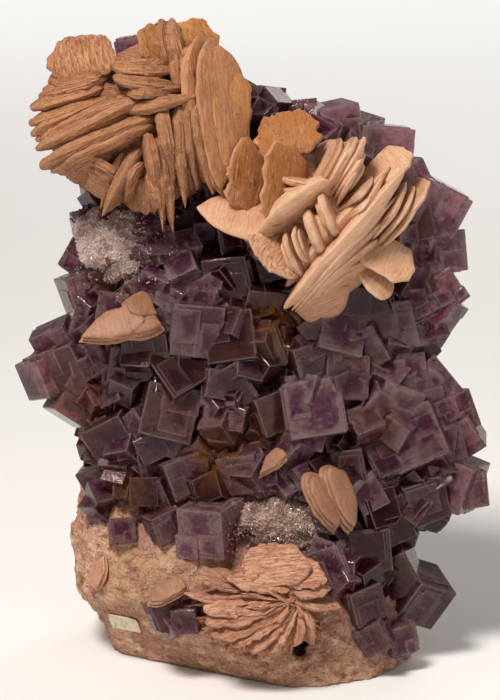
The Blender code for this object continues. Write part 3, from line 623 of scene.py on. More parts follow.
class Growth:
    """Crystals that grow into one mass, with what the finish needs to know of each."""

    def __init__(self, seed):
        self.chance = random.Random(seed)
        self.blanks = []
        self.blocks = []

    def add(self, mesh, axes, sizes, offset, paleness):
        """Adds one closed mesh, which is in the face's millimetres, as a blank of its own."""
        layer = mesh.faces.layers.int.new("crystal")
        for face in mesh.faces:
            face[layer] = len(self.blocks)
        bmesh.ops.transform(mesh, matrix=FACE, verts=mesh.verts)
        data = bpy.data.meshes.new("blank")
        mesh.to_mesh(data)
        mesh.free()
        self.blanks.append(bpy.data.objects.new("blank", data))
        shift = [self.chance.uniform(-ZONE_SHIFT, ZONE_SHIFT) for _ in range(3)]
        paler = paleness + self.chance.uniform(-PALENESS_SPREAD, PALENESS_SPREAD)
        self.blocks.append(((FACE @ axes).inverted(), sizes, offset, shift, paler))

    def block(self, place, turns, sizes, paleness, offset=(0, 0, 0), bevel=CUBE_BEVEL):
        """Adds a block with bevelled edges, offset along the crystal's own axes."""
        axes = Matrix.Translation(place) @ crystal_axes(*turns)
        mesh = bmesh.new()
        bmesh.ops.create_cube(mesh, size=1.0)
        for vert in mesh.verts:
            vert.co = Vector([size * part + off for size, part, off in zip(sizes, vert.co, offset)])
        bmesh.ops.bevel(mesh, geom=mesh.edges[:], offset=bevel, segments=1, affect="EDGES", profile=0.5)
        bmesh.ops.transform(mesh, matrix=axes, verts=mesh.verts)
        self.add(mesh, axes, sizes, offset, paleness)

    def crystal(self, place, edge, turns, paleness):
        """Adds a cube, low steps of later growth on its faces, and smaller cubes at its corners."""
        chance = self.chance
        self.block(place, turns, (edge, edge, edge), paleness)
        sides = (-1, 1)
        for _ in range(STEPS_EACH):
            face = chance.randrange(3)
            sizes = [edge * chance.uniform(*STEP_SPANS) for _ in range(3)]
            insets = [(edge - size) / 2 for size in sizes]
            offset = [chance.choice(sides) * inset * chance.uniform(*STEP_PLACES) for inset in insets]
            sizes[face] = edge * 0.5
            offset[face] = chance.choice(sides) * (edge / 4 + chance.uniform(*STEP_HEIGHTS))
            self.block(place, turns, sizes, paleness, offset, CUBE_BEVEL * 0.5)
        for _ in range(SIDE_CRYSTALS):
            size = edge * chance.uniform(*SIDE_SPANS)
            stand = edge * chance.uniform(*SIDE_STANDS)
            inset = (edge - size) / 2
            offset = [chance.choice(sides) * (inset + stand * chance.uniform(0.2, 1)) for _ in range(3)]
            self.block(place, turns, (size, size, size), paleness, offset, CUBE_BEVEL * 0.7)

    def grown(self, name):
        """The whole mass as one closed piece, with the crystals' own coordinates written on it."""
        first = self.blanks[0]
        group = bpy.data.collections.new("growth")
        bpy.context.scene.collection.objects.link(first)
        for blank in self.blanks[1:]:
            group.objects.link(blank)
        union = first.modifiers.new("union", "BOOLEAN")
        union.operation = "UNION"
        union.operand_type = "COLLECTION"
        union.collection = group
        union.solver = "MANIFOLD"
        piece = settled(first)
        for blank in self.blanks[1:]:
            bpy.data.objects.remove(blank)
        bpy.data.collections.remove(group)
        piece.name = name
        piece.data.name = name
        self.write(piece.data)
        return piece

    def write(self, mesh):
        """Writes on each face corner where it lies in its crystal, and what that crystal is like."""
        owners = np.zeros(len(mesh.polygons), np.int32)
        mesh.attributes["crystal"].data.foreach_get("value", owners)
        totals = np.zeros(len(mesh.polygons), np.int32)
        mesh.polygons.foreach_get("loop_total", totals)
        corners = np.zeros(len(mesh.loops), np.int32)
        mesh.loops.foreach_get("vertex_index", corners)
        owner = np.repeat(owners, totals)
        places = points_of(mesh)[corners]
        axes, sizes, offsets, shifts, paleness = (np.array(column) for column in zip(*self.blocks))
        local = np.einsum("nij,nj->ni", axes[owner][:, :3, :3], places) + axes[owner][:, :3, 3]
        lattice = (local - offsets[owner]) / sizes[owner] * 2
        write_on(mesh, "lattice", lattice, "FLOAT_VECTOR", "CORNER")
        write_on(mesh, "zone", lattice + shifts[owner], "FLOAT_VECTOR", "CORNER")
        on_face = places_on_face(places)
        # Painted light: the crust's upper right is made paler, where the light falls on it
        paler_x, paler_y = np.clip((on_face[:, :2] - PALER_FROM) / PALER_OVER, 0, 1).T
        write_on(mesh, "paleness", paleness[owner] + PALER_CORNER * paler_x * paler_y, domain="CORNER")
        amber = np.zeros(len(places))
        for x, y, radius, strength in AMBER_PATCHES:
            off = np.hypot(on_face[:, 0] - x, on_face[:, 1] - y) / radius
            amber = np.maximum(amber, strength * np.exp(-(off**3)))
        write_on(mesh, "amber", amber, domain="CORNER")
        write_on(mesh, "massive", (owner == 0).astype(float), domain="CORNER")
        mesh.attributes.remove(mesh.attributes["crystal"])


def skin_at(x, y):
    """Depth of whatever stands foremost at a place on the face, the bed or the rock."""
    return max(front_of(BED_SECTIONS, x, y), front_of(ROCK_SECTIONS, x, y))


def paleness_near(x, y):
    """How pale the nearest large cube is."""
    return min(CUBES, key=lambda row: math.hypot(row[0] - x, row[1] - y))[6]


def any_turns(chance, most):
    return [chance.uniform(-most, most) for _ in range(3)]


def grow_rows(growth, rows):
    """Grows the crystals of a table, each a little proud of the skin under it."""
    for x, y, edge, yaw, pitch, roll, pale in rows:
        place = Vector((x, y, skin_at(x, y) + CUBE_STANDS_OUT * edge))
        growth.crystal(place, edge, (yaw, pitch, roll), pale)


def grow_round_rim(growth, chance):
    """Carries the crust round both sides: large crystals by turns right and left, then small cubes."""
    for number in range(RIM_COUNT):
        share = (number + 0.5) / RIM_COUNT
        y = RIM_LOW + (RIM_HIGH - RIM_LOW) * share + chance.uniform(-RIM_WANDER, RIM_WANDER)
        left, right, _, _ = section_at(BED_SECTIONS, y)
        x = right - RIM_INSET if number % 2 else left + RIM_INSET
        z = chance.uniform(*RIM_DEPTHS)
        edge = chance.uniform(*RIM_EDGES)
        growth.crystal(Vector((x, y, z)), edge, any_turns(chance, RIM_TURN), paleness_near(x, y))
    for number in range(RIM_FILL):
        y = chance.uniform(RIM_LOW, RIM_HIGH + RIM_FILL_ABOVE)
        left, right, _, _ = section_at(BED_SECTIONS, y)
        wander = chance.uniform(*RIM_FILL_WANDER)
        x = right - 1 + wander if number % 2 else left + 1 - wander
        edge = chance.uniform(*RIM_FILL_EDGES)
        turns = any_turns(chance, RIM_TURN)
        place = Vector((x, y, chance.uniform(*RIM_FILL_DEPTHS)))
        growth.block(place, turns, (edge, edge, edge), paleness_near(x, y), bevel=SMALL_BEVEL)


def on_bare_foot(x, y, chance):
    """Whether a small cube would stand low on the rock, where few or none grew."""
    if front_of(ROCK_SECTIONS, x, y) <= front_of(BED_SECTIONS, x, y):
        return False
    left_out = y < FEW_BELOW and x < FEW_LEFT_OF and chance.random() < FEW_LEFT_OUT
    return left_out or y < NONE_BELOW and x < 0


def grow_between(growth, chance):
    """Fills the hollows between the large crystals with cubes of two sizes."""
    for number in range(FILL_CUBES + SMALL_CUBES):
        edges, rises = (FILL_EDGES, FILL_RISE) if number < FILL_CUBES else (SMALL_EDGES, SMALL_RISE)
        y = chance.uniform(*FILL_HEIGHTS)
        left, right, _, _ = section_at(BED_SECTIONS, y)
        x = chance.uniform(left + 2, right - 2)
        edge = chance.uniform(*edges)
        turns = any_turns(chance, SMALL_TURN)
        rise = chance.uniform(*rises)
        pale = paleness_near(x, y) + chance.uniform(-SMALL_PALENESS, SMALL_PALENESS)
        if on_bare_foot(x, y, chance):
            continue
        place = Vector((x, y, skin_at(x, y) + rise * edge))
        growth.block(place, turns, (edge, edge, edge), pale, bevel=SMALL_BEVEL)


crust = Growth(21)
crust.add(bed_of_fluorite(), Matrix.Identity(4), (BED_ZONES,) * 3, (0, 0, 0), BED_PALENESS)
grow_rows(crust, CUBES)
grow_round_rim(crust, random.Random(RIM_SEED))
grow_between(crust, random.Random(22))
crust_piece = crust.grown("fluorite_crystals")

foot = Growth(23)
grow_rows(foot, FOOT_CUBES)
foot_piece = foot.grown("fluorite_foot")


def second_largest(tree, vector):
    """The second largest of a vector's three sizes: 1 along a cube's edges, less inside its faces."""
    size = add_node(tree, "ShaderNodeVectorMath", {"operation": "ABSOLUTE"})
    tree.links.new(vector, size.inputs[0])
    parts = add_node(tree, "ShaderNodeSeparateXYZ")
    tree.links.new(size.outputs[0], parts.inputs[0])
    x, y, z = parts.outputs
    high = reckon(tree, "MAXIMUM", reckon(tree, "MAXIMUM", x, y), z)
    low = reckon(tree, "MINIMUM", reckon(tree, "MINIMUM", x, y), z)
    total = reckon(tree, "ADD", reckon(tree, "ADD", x, y), z)
    return reckon(tree, "SUBTRACT", reckon(tree, "SUBTRACT", total, high), low)


def fluorite_finish():
    """Clear purple fluorite with dark hearts, paler rims along the cubes' edges, painted highlights on the
    edges themselves, veils, flaws and stains.
    """
    finish, tree, shader = new_finish("fluorite")
    place = in_millimetres(tree)
    lattice = written_on(tree, "lattice", "Vector")
    wavy = cloud(tree, place, 3.4, 4.0)
    waver = reckon(tree, "MULTIPLY", reckon(tree, "SUBTRACT", wavy, 0.5), 1.2)
    single = reckon(tree, "SUBTRACT", 1.0, written_on(tree, "massive"))
    to_edge = second_largest(tree, lattice)
    rim = reckon(tree, "MULTIPLY", ease(tree, reckon(tree, "ADD", to_edge, waver), 0.62, 1.05), single)
    # Painted highlight: thin pale lines along the very edges of each cube
    arris_highlight = reckon(tree, "MULTIPLY", ease(tree, to_edge, 0.90, 0.985), single)
    to_heart = reckon(tree, "ADD", second_largest(tree, written_on(tree, "zone", "Vector")), waver)
    heart = reckon(tree, "MULTIPLY", ease(tree, to_heart, 0.72, 0.38), single)
    pale = ease(tree, written_on(tree, "paleness"), -0.8, 1.1)
    cloudy = cloud(tree, place, 7.0, 5.0, 0.6)
    body = blend_colours(tree, pale, FLUORITE_DARK, FLUORITE_PALE)
    body = blend_colours(tree, ease(tree, cloudy, 0.40, 0.64, 0.0, 0.7), body, FLUORITE_SMOKY)
    dark_heart = blend_colours(tree, pale, HEART_DARK, HEART_PALE)
    colour = blend_colours(tree, reckon(tree, "MULTIPLY", heart, 0.85), body, dark_heart)
    rim_colour = blend_colours(tree, pale, RIM_DARK, RIM_PALE)
    colour = blend_colours(tree, reckon(tree, "MULTIPLY", rim, 0.55), colour, rim_colour)
    colour = blend_colours(tree, reckon(tree, "MULTIPLY", arris_highlight, 0.5), colour, ARRIS_HIGHLIGHT)
    veil = cloud(tree, stretched(tree, lattice, 1.0, 0.3, 1.0), 0.25, 5.0, 0.65)
    veiled = reckon(tree, "MULTIPLY", ease(tree, veil, 0.56, 0.74, 0.0, 0.6), pale)
    colour = blend_colours(tree, veiled, colour, VEIL_PALE)
    flaws = cloud(tree, stretched(tree, place, 1.0, 1.4, 1.0), 1.3, 6.0, 0.72)
    bright_flaws = reckon(tree, "MULTIPLY", ease(tree, flaws, 0.53, 0.66, 0.0, 0.5), pale)
    colour = blend_colours(tree, bright_flaws, colour, FLAW_PALE)
    colour = blend_colours(tree, ease(tree, flaws, 0.47, 0.34, 0.0, 0.65), colour, FLAW_DARK)
    amber = reckon(tree, "MULTIPLY", written_on(tree, "amber"), ease(tree, wavy, 0.3, 0.55))
    colour = blend_colours(tree, amber, colour, AMBER_STAIN)
    tree.links.new(colour, shader.inputs["Base Color"])
    smear = cloud(tree, place, 1.6, 4.0, 0.6)
    dull = reckon(tree, "MULTIPLY", written_on(tree, "massive"), 0.5)
    roughness = reckon(tree, "ADD", ease(tree, smear, 0.35, 0.75, 0.03, 0.20), dull)
    tree.links.new(roughness, shader.inputs["Roughness"])
    lines = cloud(tree, stretched(tree, lattice, 0.4, 9.0, 0.4), 1.0, 3.0, 0.5)
    etched = bumps(tree, reckon(tree, "ADD", reckon(tree, "MULTIPLY", lines, 0.5), smear), 0.12, 0.7)
    tree.links.new(etched, shader.inputs["Normal"])
    shader.inputs["IOR"].default_value = FLUORITE_IOR
    shader.inputs["Specular IOR Level"].default_value = 0.14
    shader.inputs["Specular Tint"].default_value = (1.0, 0.82, 0.84, 1.0)
    shader.inputs["Transmission Weight"].default_value = FLUORITE_CLEARNESS
    inside = tree.nodes.new("ShaderNodeVolumeAbsorption")
    inside.inputs["Color"].default_value = LIGHT_LET_THROUGH
    inside.inputs["Density"].default_value = ABSORPTION
    output = next(node for node in tree.nodes if node.type == "OUTPUT_MATERIAL")
    tree.links.new(inside.outputs["Volume"], output.inputs["Volume"])
    return finish


fluorite = fluorite_finish()
dress(crust_piece, fluorite, "fluorite", "fluorite_crust")
dress(foot_piece, fluorite, "fluorite", "fluorite_foot_crystals")

# The quartz druses
# Two patches of quartz that coat the crust with thousands of tiny pointed crystals, grey and sparkling.
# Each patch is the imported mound, with points set over it that stand about square to its skin.
DRUSE_SEED = 40
SPRAY_TRIES = 90000
SPRAY_POINTS = 2300
SPRAY_SIZE = 0.62
POINT_RADII = (0.20, 0.48)
POINT_HEIGHT = 2.1
POINT_HEIGHTS = (0.5, 1.2)
POINT_TAPER = 0.85
POINT_TIP = 0.8
POINT_SUNK = 0.8
POINT_LEAN = 0.55
POINT_SIDES = 6
PATCH_FADE = (0.5, 0.95)
PATCH_RAGGEDNESS = 0.8
PATCH_LUMPS = 0.25
PATCH_FRONT = -14
MOUND_GRID = 0.9
MOUND_RUBBING = 8
MOUND_RELIEF = ((1.7, 0.2), (0.7, 0.6))
QUARTZ_GLINT = (0.80, 0.72, 0.71)
QUARTZ_DARKER_POINTS = (0.14, 0.09, 0.075)
QUARTZ_IOR = 1.544
QUARTZ_CLEARNESS = 0.25

# Druses: how many points stand on the mound, the patch round it that more are strewn over, with its place on
# the face and its half sizes, and the dark and the light of the quartz
DRUSES = {
    "quartz_druse_upper": (4600, (-41, 128, 17, 15), (0.43, 0.25, 0.205), (0.84, 0.655, 0.60)),
    "quartz_druse_lower": (3600, (8, 43, 18, 11), (0.27, 0.145, 0.10), (0.54, 0.37, 0.30)),
}


def quartz_point():
    """One tiny crystal: six sides and a blunt point, one unit wide."""
    mesh = bmesh.new()
    bmesh.ops.create_cone(
        mesh, cap_ends=True, segments=POINT_SIDES, radius1=1.0, radius2=POINT_TAPER, depth=1.0,
        matrix=Matrix.Translation((0, 0, 0.5)),
    )
    top = max(mesh.faces, key=lambda face: face.calc_center_median().z)
    bmesh.ops.poke(mesh, faces=[top])
    tip = max(mesh.verts, key=lambda vert: (vert.co.z, -vert.co.xy.length))
    tip.co.z += POINT_TIP
    bmesh.ops.triangulate(mesh, faces=mesh.faces)
    verts = np.array([vert.co for vert in mesh.verts])
    faces = np.array([[vert.index for vert in face.verts] for face in mesh.faces])
    mesh.free()
    return verts, faces


def spread_over(mesh, count, chance):
    """Places and normals spread evenly over a mesh."""
    mesh.calc_loop_triangles()
    places = points_of(mesh)
    corners = np.array([triangle.vertices for triangle in mesh.loop_triangles])
    a, b, c = (places[corners[:, k]] for k in range(3))
    across = np.cross(b - a, c - a)
    areas = np.linalg.norm(across, axis=1)
    picks = chance.choice(len(areas), count, p=areas / areas.sum())
    u, v = chance.random(count), chance.random(count)
    flip = u + v > 1
    u[flip], v[flip] = 1 - u[flip], 1 - v[flip]
    spots = a[picks] + (b - a)[picks] * u[:, None] + (c - a)[picks] * v[:, None]
    return spots, across[picks] / areas[picks][:, None]


def thinning_out(spots, ways, patch, chance):
    """Keeps the spots of a wider surface near a patch: all at its middle and fewer away from it."""
    x, y, half_width, half_height = patch
    on_face = places_on_face(spots)
    off = np.hypot((on_face[:, 0] - x) / half_width, (on_face[:, 1] - y) / half_height)
    lumps = np.array([noise.noise(Vector(place) * PATCH_LUMPS) for place in on_face])
    inside = off + PATCH_RAGGEDNESS * lumps < chance.uniform(*PATCH_FADE, len(spots))
    kept = inside & (on_face[:, 2] > PATCH_FRONT)
    return spots[kept], ways[kept]


def sugar(mound, on_mound, seed, around, patch):
    """Many quartz points over a mound, and smaller ones that thin out over what lies around it."""
    chance = np.random.default_rng(seed)
    spots, ways = spread_over(mound, on_mound, chance)
    strewn_spots, strewn_ways = thinning_out(*spread_over(around, SPRAY_TRIES, chance), patch, chance)
    spots = np.concatenate([spots, strewn_spots[:SPRAY_POINTS]])
    ways = np.concatenate([ways, strewn_ways[:SPRAY_POINTS]])
    count = len(spots)
    verts, faces = quartz_point()
    ways = ways + chance.normal(0, POINT_LEAN, ways.shape)
    ways /= np.linalg.norm(ways, axis=1)[:, None]
    aside = np.cross(ways, chance.normal(0, 1, ways.shape))
    aside /= np.linalg.norm(aside, axis=1)[:, None]
    third = np.cross(ways, aside)
    radii = chance.uniform(*POINT_RADII, count) * MM
    radii[on_mound:] *= SPRAY_SIZE
    heights = radii * POINT_HEIGHT * chance.uniform(*POINT_HEIGHTS, count)
    grown = (
        spots[:, None, :]
        + verts[None, :, :1] * (aside * radii[:, None])[:, None, :]
        + verts[None, :, 1:2] * (third * radii[:, None])[:, None, :]
        + (verts[None, :, 2:] - POINT_SUNK) * (ways * heights[:, None])[:, None, :]
    ).reshape(-1, 3)
    all_faces = (faces[None] + np.arange(count)[:, None, None] * len(verts)).reshape(-1, 3)
    mesh = bpy.data.meshes.new("points")
    mesh.from_pydata(grown.tolist(), [], all_faces.tolist())
    write_on(mesh, "tint", np.repeat(chance.random(count), len(verts)))
    return new_piece("points", mesh)


def mound_of(node):
    """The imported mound, rounded and lumpy, to set the points on."""
    mound = new_piece("mound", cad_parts[node].data.copy())
    grid = mound.modifiers.new("grid", "REMESH")
    grid.mode = "VOXEL"
    grid.voxel_size = MOUND_GRID * MM
    rubbing = mound.modifiers.new("rubbing", "SMOOTH")
    rubbing.iterations = MOUND_RUBBING
    settled(mound)
    for vert in mound.data.vertices:
        place = vert.co / MM
        rise = sum(height * noise.noise(place * waves) for height, waves in MOUND_RELIEF)
        vert.co += vert.normal * rise * MM
    return mound


def joined(name, pieces):
    """One piece made of several."""
    whole = bmesh.new()
    for piece in pieces:
        whole.from_mesh(piece.data)
        bpy.data.objects.remove(piece)
    mesh = bpy.data.meshes.new(name)
    whole.to_mesh(mesh)
    whole.free()
    return new_piece(name, mesh)


def quartz_finish(name, dark, light):
    """Grey quartz points, each its own shade, glassy enough to glint, the palest of them with painted glints.
    """
    finish, tree, shader = new_finish(name)
    place = in_millimetres(tree)
    patch = cloud(tree, place, 5.5, 4.0, 0.6)
    colour = blend_colours(tree, ease(tree, patch, 0.38, 0.62), dark, light)
    tint = written_on(tree, "tint")
    # Painted glints: the points of highest tint are painted near white
    colour = blend_colours(tree, ease(tree, tint, 0.75, 1.0, 0.0, 0.5), colour, QUARTZ_GLINT)
    # Some points, those of lowest tint, are painted darker than the rest
    colour = blend_colours(tree, ease(tree, tint, 0.25, 0.0, 0.0, 0.3), colour, QUARTZ_DARKER_POINTS)
    tree.links.new(colour, shader.inputs["Base Color"])
    tree.links.new(ease(tree, tint, 0.0, 1.0, 0.35, 0.10), shader.inputs["Roughness"])
    shader.inputs["IOR"].default_value = QUARTZ_IOR
    shader.inputs["Transmission Weight"].default_value = QUARTZ_CLEARNESS
    return finish


for number, (node, (count, patch, dark, light)) in enumerate(DRUSES.items()):
    mound = mound_of(node)
    points = sugar(mound.data, count, DRUSE_SEED + number, crust_piece.data, patch)
    druse = joined(node + "_points", [mound, points])
    dress(druse, quartz_finish(node, dark, light), "quartz", node)

# The barite roses
# Barite grown last, in thick tan blades that fan out from a common heart like the petals of a rose.
# Each blade is lofted as one body with ribs along it, its rim standing out in steps as a stack of thin plates,
# pressed together and staggered at their tips, would.
BLADE_BOW = 0.35
DOME_FALL = 0.7
DOME_EDGE = 0.15
LEAST_COSINE = 0.7
BROAD_TILT = 40
STATIONS = 34
ROUND = 48
RIDGE_SHARE = 0.72
RIDGE_SLOPE = 0.85
RIDGE_OFF = 0.5
SHARP_FOLD = 34.0
THICKENING = 1.14
SLAB_EDGE = 0.5
SLAB_FLATNESS = 0.55
BLADE_FLATNESS = 0.7
TIP_POWER = 1.6
TIP_CUT = 0.34
CORNER_SLOPE = 1.7
TIP_UNEVENNESS = 2.2
BEND = 0.5
BEND_WAVES = 0.09

# The skin of a blade: how deep its grooves and pits are, and how close together its ribs lie, in waves to a
# millimetre along it, down from its rim and through it. Ribs run across a broad blade that lies level.
GROOVE_DEPTH = 0.34
GROOVE_CONTRAST = 2.6
SLAB_GROOVES = 0.4
PIT_DEPTH = 0.14
PIT_WAVES = 2.2
RIBS_EDGE_ON = (0.04, 0.3, 1.9)
RIBS_ALONG = (0.11, 0.7, 0.6)
RIBS_ACROSS = (0.7, 0.11, 0.6)
FINER_RIBS = 2.3

# The rim of a blade stands out in steps, where plates end. Each wave: waves to a millimetre, height, level
RAGGED_RIM = 0.9
RAGGED_SLAB = 1.4
RIM_STEP = 0.35
RIM_LEVEL = 0.1
RIM_WAVES = ((0.4, 1.0, 0), (1.5, 0.5, 5))
FAR_RIM = 40.0

# Shorter blades sunk between the blades of a rose, and the ribbed heart that fills its middle
SUNK_ROUND = 20
SUNK_ASIDE = (0.5, 1.0)
SUNK_INSETS = (0.03, 0.16)
SUNK_BY = (2.0, 4.5)
SUNK_TURN = 8
SUNK_SIZE = 0.9
HEART_FACES = (64, 44)
HEART_DEPTH = 2.0
HEART_RIBS = 2.2
HEART_INSET = 1.5

# Barite's own values
BARITE_IOR = 1.636
BARITE_SHINE = 0.3


def blade_frame(start, end, crest, breadth, tilt):
    """The middle, directions and sizes of a blade whose rim lies between two tips on the face."""
    start, end = Vector((*start, 0)), Vector((*end, 0))
    along = (end - start).normalized()
    out = Vector((0, 0, 1))
    lean = math.radians(tilt)
    back = out.cross(along) * math.sin(lean) - out * math.cos(lean)
    bow = BLADE_BOW * breadth
    middle = (start + end) / 2 + out * (crest - bow * math.cos(lean))
    return middle, along, back, along.cross(back), (end - start).length / 2, bow


def signed_power(value, power):
    return math.copysign(abs(value) ** power, value)


def dome_at(floor, height, off):
    """How high a dome stands, off being 0 at its middle and 1 at its foot."""
    return floor + height * max(DOME_EDGE, 1 - off * off) ** DOME_FALL


def rim_profile(turn, front, rear, half, ridge_off):
    """Depth and height of a thin blade's section: a ridge in front, two straight flanks, and flat sides."""
    side = 1 if math.sin(turn) >= 0 else -1
    quarter = math.acos(max(-1.0, min(1.0, math.cos(turn)))) / (math.pi / 2)
    if quarter > 1:
        return rear * math.sin((quarter - 1) * math.pi / 2), side * half * (1 - (quarter - 1) ** 3)
    flank = min(1.0, quarter / RIDGE_SHARE)
    down = min(front, half * RIDGE_SLOPE)
    drop = down * flank**1.25 + (front - down) * max(0.0, quarter - RIDGE_SHARE) / (1 - RIDGE_SHARE)
    return drop - front, half * (side * flank + ridge_off * (1 - flank))


class Blades:
    """Blades of barite, gathered in one mesh, with what the finish needs to know at each of its points."""

    def __init__(self, seed, roughness, ribs_across=True, square_tips=True):
        self.chance = random.Random(seed)
        self.roughness = roughness
        self.ribs_across = ribs_across
        self.square_tips = square_tips
        self.verts = []
        self.faces = []
        self.grain = []
        self.notes = {"tint": [], "rim": [], "warm": [], "rough": []}

    def add_point(self, place, grain, tint, rim, warm):
        self.verts.append(place)
        self.grain.append(grain)
        for kept, value in zip(self.notes.values(), (tint, rim, warm, self.roughness)):
            kept.append(value)

    def width_at(self, share, tips):
        """How wide a blade is at a share of its length, -1 and 1 being its tips, against its middle."""
        blunt = tips[0] if share < 0 else tips[1]
        width = max(0.0, 1 - abs(share) ** (TIP_POWER * blunt * blunt)) ** (1 / blunt)
        if self.square_tips and abs(share) < 1:
            width = min(width, TIP_CUT + CORNER_SLOPE * (1 - abs(share)))
        return width

    def rim_at(self, a, side, seed, broad):
        """How far the rim stands out at a place along a blade."""
        wave = 0.0
        for waves, height, level in RIM_WAVES:
            wave += height * noise.noise(Vector((a * waves, side, level)) + seed)
        wave = RIM_STEP * round(wave / RIM_STEP)
        return RAGGED_RIM * self.roughness * (wave - RIM_LEVEL) * (RAGGED_SLAB if broad else 1.0)

    def skin_at(self, a, b, s, through, waves, seed):
        """How far the skin of a blade stands out at a place on it: ribs, and small pits over them."""
        lines = Vector((a * waves[0], b * waves[1], through * waves[2])) + seed
        crease = abs(noise.noise(lines)) + 0.5 * abs(noise.noise(lines * FINER_RIBS))
        spots = Vector((a * 0.5, b * 0.5, s * 1.5)) + seed
        ribs = GROOVE_DEPTH * self.roughness * (GROOVE_CONTRAST * crease - 1.0)
        return ribs + PIT_DEPTH * self.roughness * noise.noise(spots * PIT_WAVES)

    def loft(self, ways, half_length, front, rear, half_thickness, tips, broad, warm, around):
        """One blade, lofted along its length. On it, a runs along, b down from its rim and n through it."""
        middle, along, back, normal = ways
        first = len(self.verts)
        seed = Vector([self.chance.uniform(0, 90) for _ in range(3)])
        tint = self.chance.random()
        ridge_off = self.chance.uniform(-RIDGE_OFF, RIDGE_OFF)
        across = broad and self.ribs_across and abs(along.x) > abs(along.y)
        waves = RIBS_ACROSS if across else RIBS_ALONG if broad else RIBS_EDGE_ON
        for station in range(STATIONS + 1):
            share = -math.cos(math.pi * station / STATIONS)
            width = self.width_at(share, tips)
            a = share * half_length
            near_rim = self.rim_at(a, 0.0, seed, broad)
            far_rim = self.rim_at(a, FAR_RIM, seed, broad)
            bend = BEND * noise.noise(Vector((a * BEND_WAVES, 9, 0)) + seed)
            for step in range(around if 0 < station < STATIONS else 1):
                turn = math.tau * step / around
                c, s = -math.cos(turn), math.sin(turn)
                if broad:
                    b = signed_power(c, SLAB_EDGE) * (rear if c > 0 else front) * width
                    b += far_rim * max(0.0, c) ** 2 * width
                    n = s * half_thickness * width**SLAB_FLATNESS
                else:
                    half = half_thickness * width**BLADE_FLATNESS
                    b, n = rim_profile(turn, front * width, rear * width, half, ridge_off)
                b -= near_rim * width * max(0.0, -c) ** 2
                depth = self.skin_at(a, b, s, s if broad else n, waves, seed)
                b += depth * c * (SLAB_GROOVES if broad else 1.0) * width
                n += depth * s * width + bend * width
                uneven = noise.noise(Vector((b * 0.35, 3, 0)) + seed) * share**4 * TIP_UNEVENNESS
                place = middle + along * (a + uneven * self.roughness) + back * b + normal * n
                grain = (Vector((b, a, n)) if across else Vector((a, b, n))) + seed
                self.add_point(place, grain, tint, max(0.0, -c) ** 3, warm)
        self.skin(first, around)

    def skin(self, first, around):
        """The faces between the stations of the last blade, which has a single point at each end."""
        rings = [first + 1 + around * station for station in range(STATIONS - 1)]
        last = first + 1 + around * (STATIONS - 1)
        for step in range(around):
            after = (step + 1) % around
            self.faces.append((first, rings[0] + after, rings[0] + step))
            for here, there in zip(rings, rings[1:]):
                self.faces.append((here + step, here + after, there + after, there + step))
            self.faces.append((last, rings[-1] + step, rings[-1] + after))

    def blade(
        self, start, end, crest, breadth, thickness, tilt, tips=(1.0, 1.0), warm=0.0, around=ROUND, lift=0.0
    ):
        """A blade whose rim lies between two tips on the face, moved square to its own sides by lift."""
        middle, along, back, normal, half_length, bow = blade_frame(start, end, crest, breadth, tilt)
        broad = abs(tilt) > BROAD_TILT
        thickness *= 1.0 if broad else THICKENING
        ways = (middle + normal * lift, along, back, normal)
        self.loft(ways, half_length, bow, breadth - bow, thickness / 2, tips, broad, warm, around)

    def sink_beside(self, start, end, crest, breadth, thickness, tilt, tips):
        """A shorter blade beside another and sunk a little deeper."""
        chance = self.chance
        side = Vector((start[1] - end[1], end[0] - start[0])).normalized()
        aside = side * chance.choice((-1, 1)) * thickness * chance.uniform(*SUNK_ASIDE)
        insets = [chance.uniform(*SUNK_INSETS) for _ in range(2)]
        near = Vector(start).lerp(Vector(end), insets[0]) + aside
        far = Vector(start).lerp(Vector(end), 1 - insets[1]) + aside
        sunk = crest - chance.uniform(*SUNK_BY)
        tilt += chance.uniform(-SUNK_TURN, SUNK_TURN)
        breadth *= SUNK_SIZE
        self.blade(near, far, sunk, breadth, thickness * SUNK_SIZE, tilt, tips, around=SUNK_ROUND)

    def rose(self, rows, dome, fillers):
        """Blades whose rims follow a low dome, with shorter ones sunk beside them."""
        centre_x, centre_y, radius, floor, height = dome
        for x0, y0, x1, y1, thickness, tilt, breadth, first, last, warm in rows:
            off = math.hypot((x0 + x1) / 2 - centre_x, (y0 + y1) / 2 - centre_y) / radius
            crest = dome_at(floor, height, off)
            reach = breadth or (crest - floor) / max(LEAST_COSINE, math.cos(math.radians(tilt)))
            self.blade((x0, y0), (x1, y1), crest, reach, thickness, tilt, (first, last), warm)
            for _ in range(0 if abs(tilt) > BROAD_TILT else fillers):
                self.sink_beside((x0, y0), (x1, y1), crest, reach, thickness, tilt, (first, last))

    def heart(self, dome, half_sizes):
        """The ribbed middle of a rose, which fills the gaps between the blades."""
        x, y, _, floor, _ = dome
        ball = bmesh.new()
        bmesh.ops.create_uvsphere(ball, u_segments=HEART_FACES[0], v_segments=HEART_FACES[1], radius=1.0)
        first = len(self.verts)
        for vert in ball.verts:
            place = Vector([size * part for size, part in zip(half_sizes, vert.co)])
            rib = noise.noise(Vector((place.x * 0.5, place.y * 0.5, 0))) + 0.5 * noise.noise(place * 0.9)
            place += vert.co * (HEART_RIBS * rib - HEART_INSET) + Vector((x, y, floor - HEART_DEPTH))
            # Tint 0 gives the heart the deepest tone of its rose: painted shade in the gaps between the blades
            self.add_point(place, place, 0.0, 0.0, 0.0)
        self.faces += [tuple(first + vert.index for vert in face.verts) for face in ball.faces]
        ball.free()

    def finished(self, name):
        """The piece, in the specimen's place."""
        mesh = bpy.data.meshes.new(name)
        mesh.from_pydata([FACE @ place for place in self.verts], [], self.faces)
        write_on(mesh, "grain", [list(place) for place in self.grain], "FLOAT_VECTOR")
        for label, values in self.notes.items():
            write_on(mesh, label, values)
        mesh.shade_smooth()
        mesh.set_sharp_from_angle(angle=math.radians(SHARP_FOLD))
        return new_piece(name, mesh)


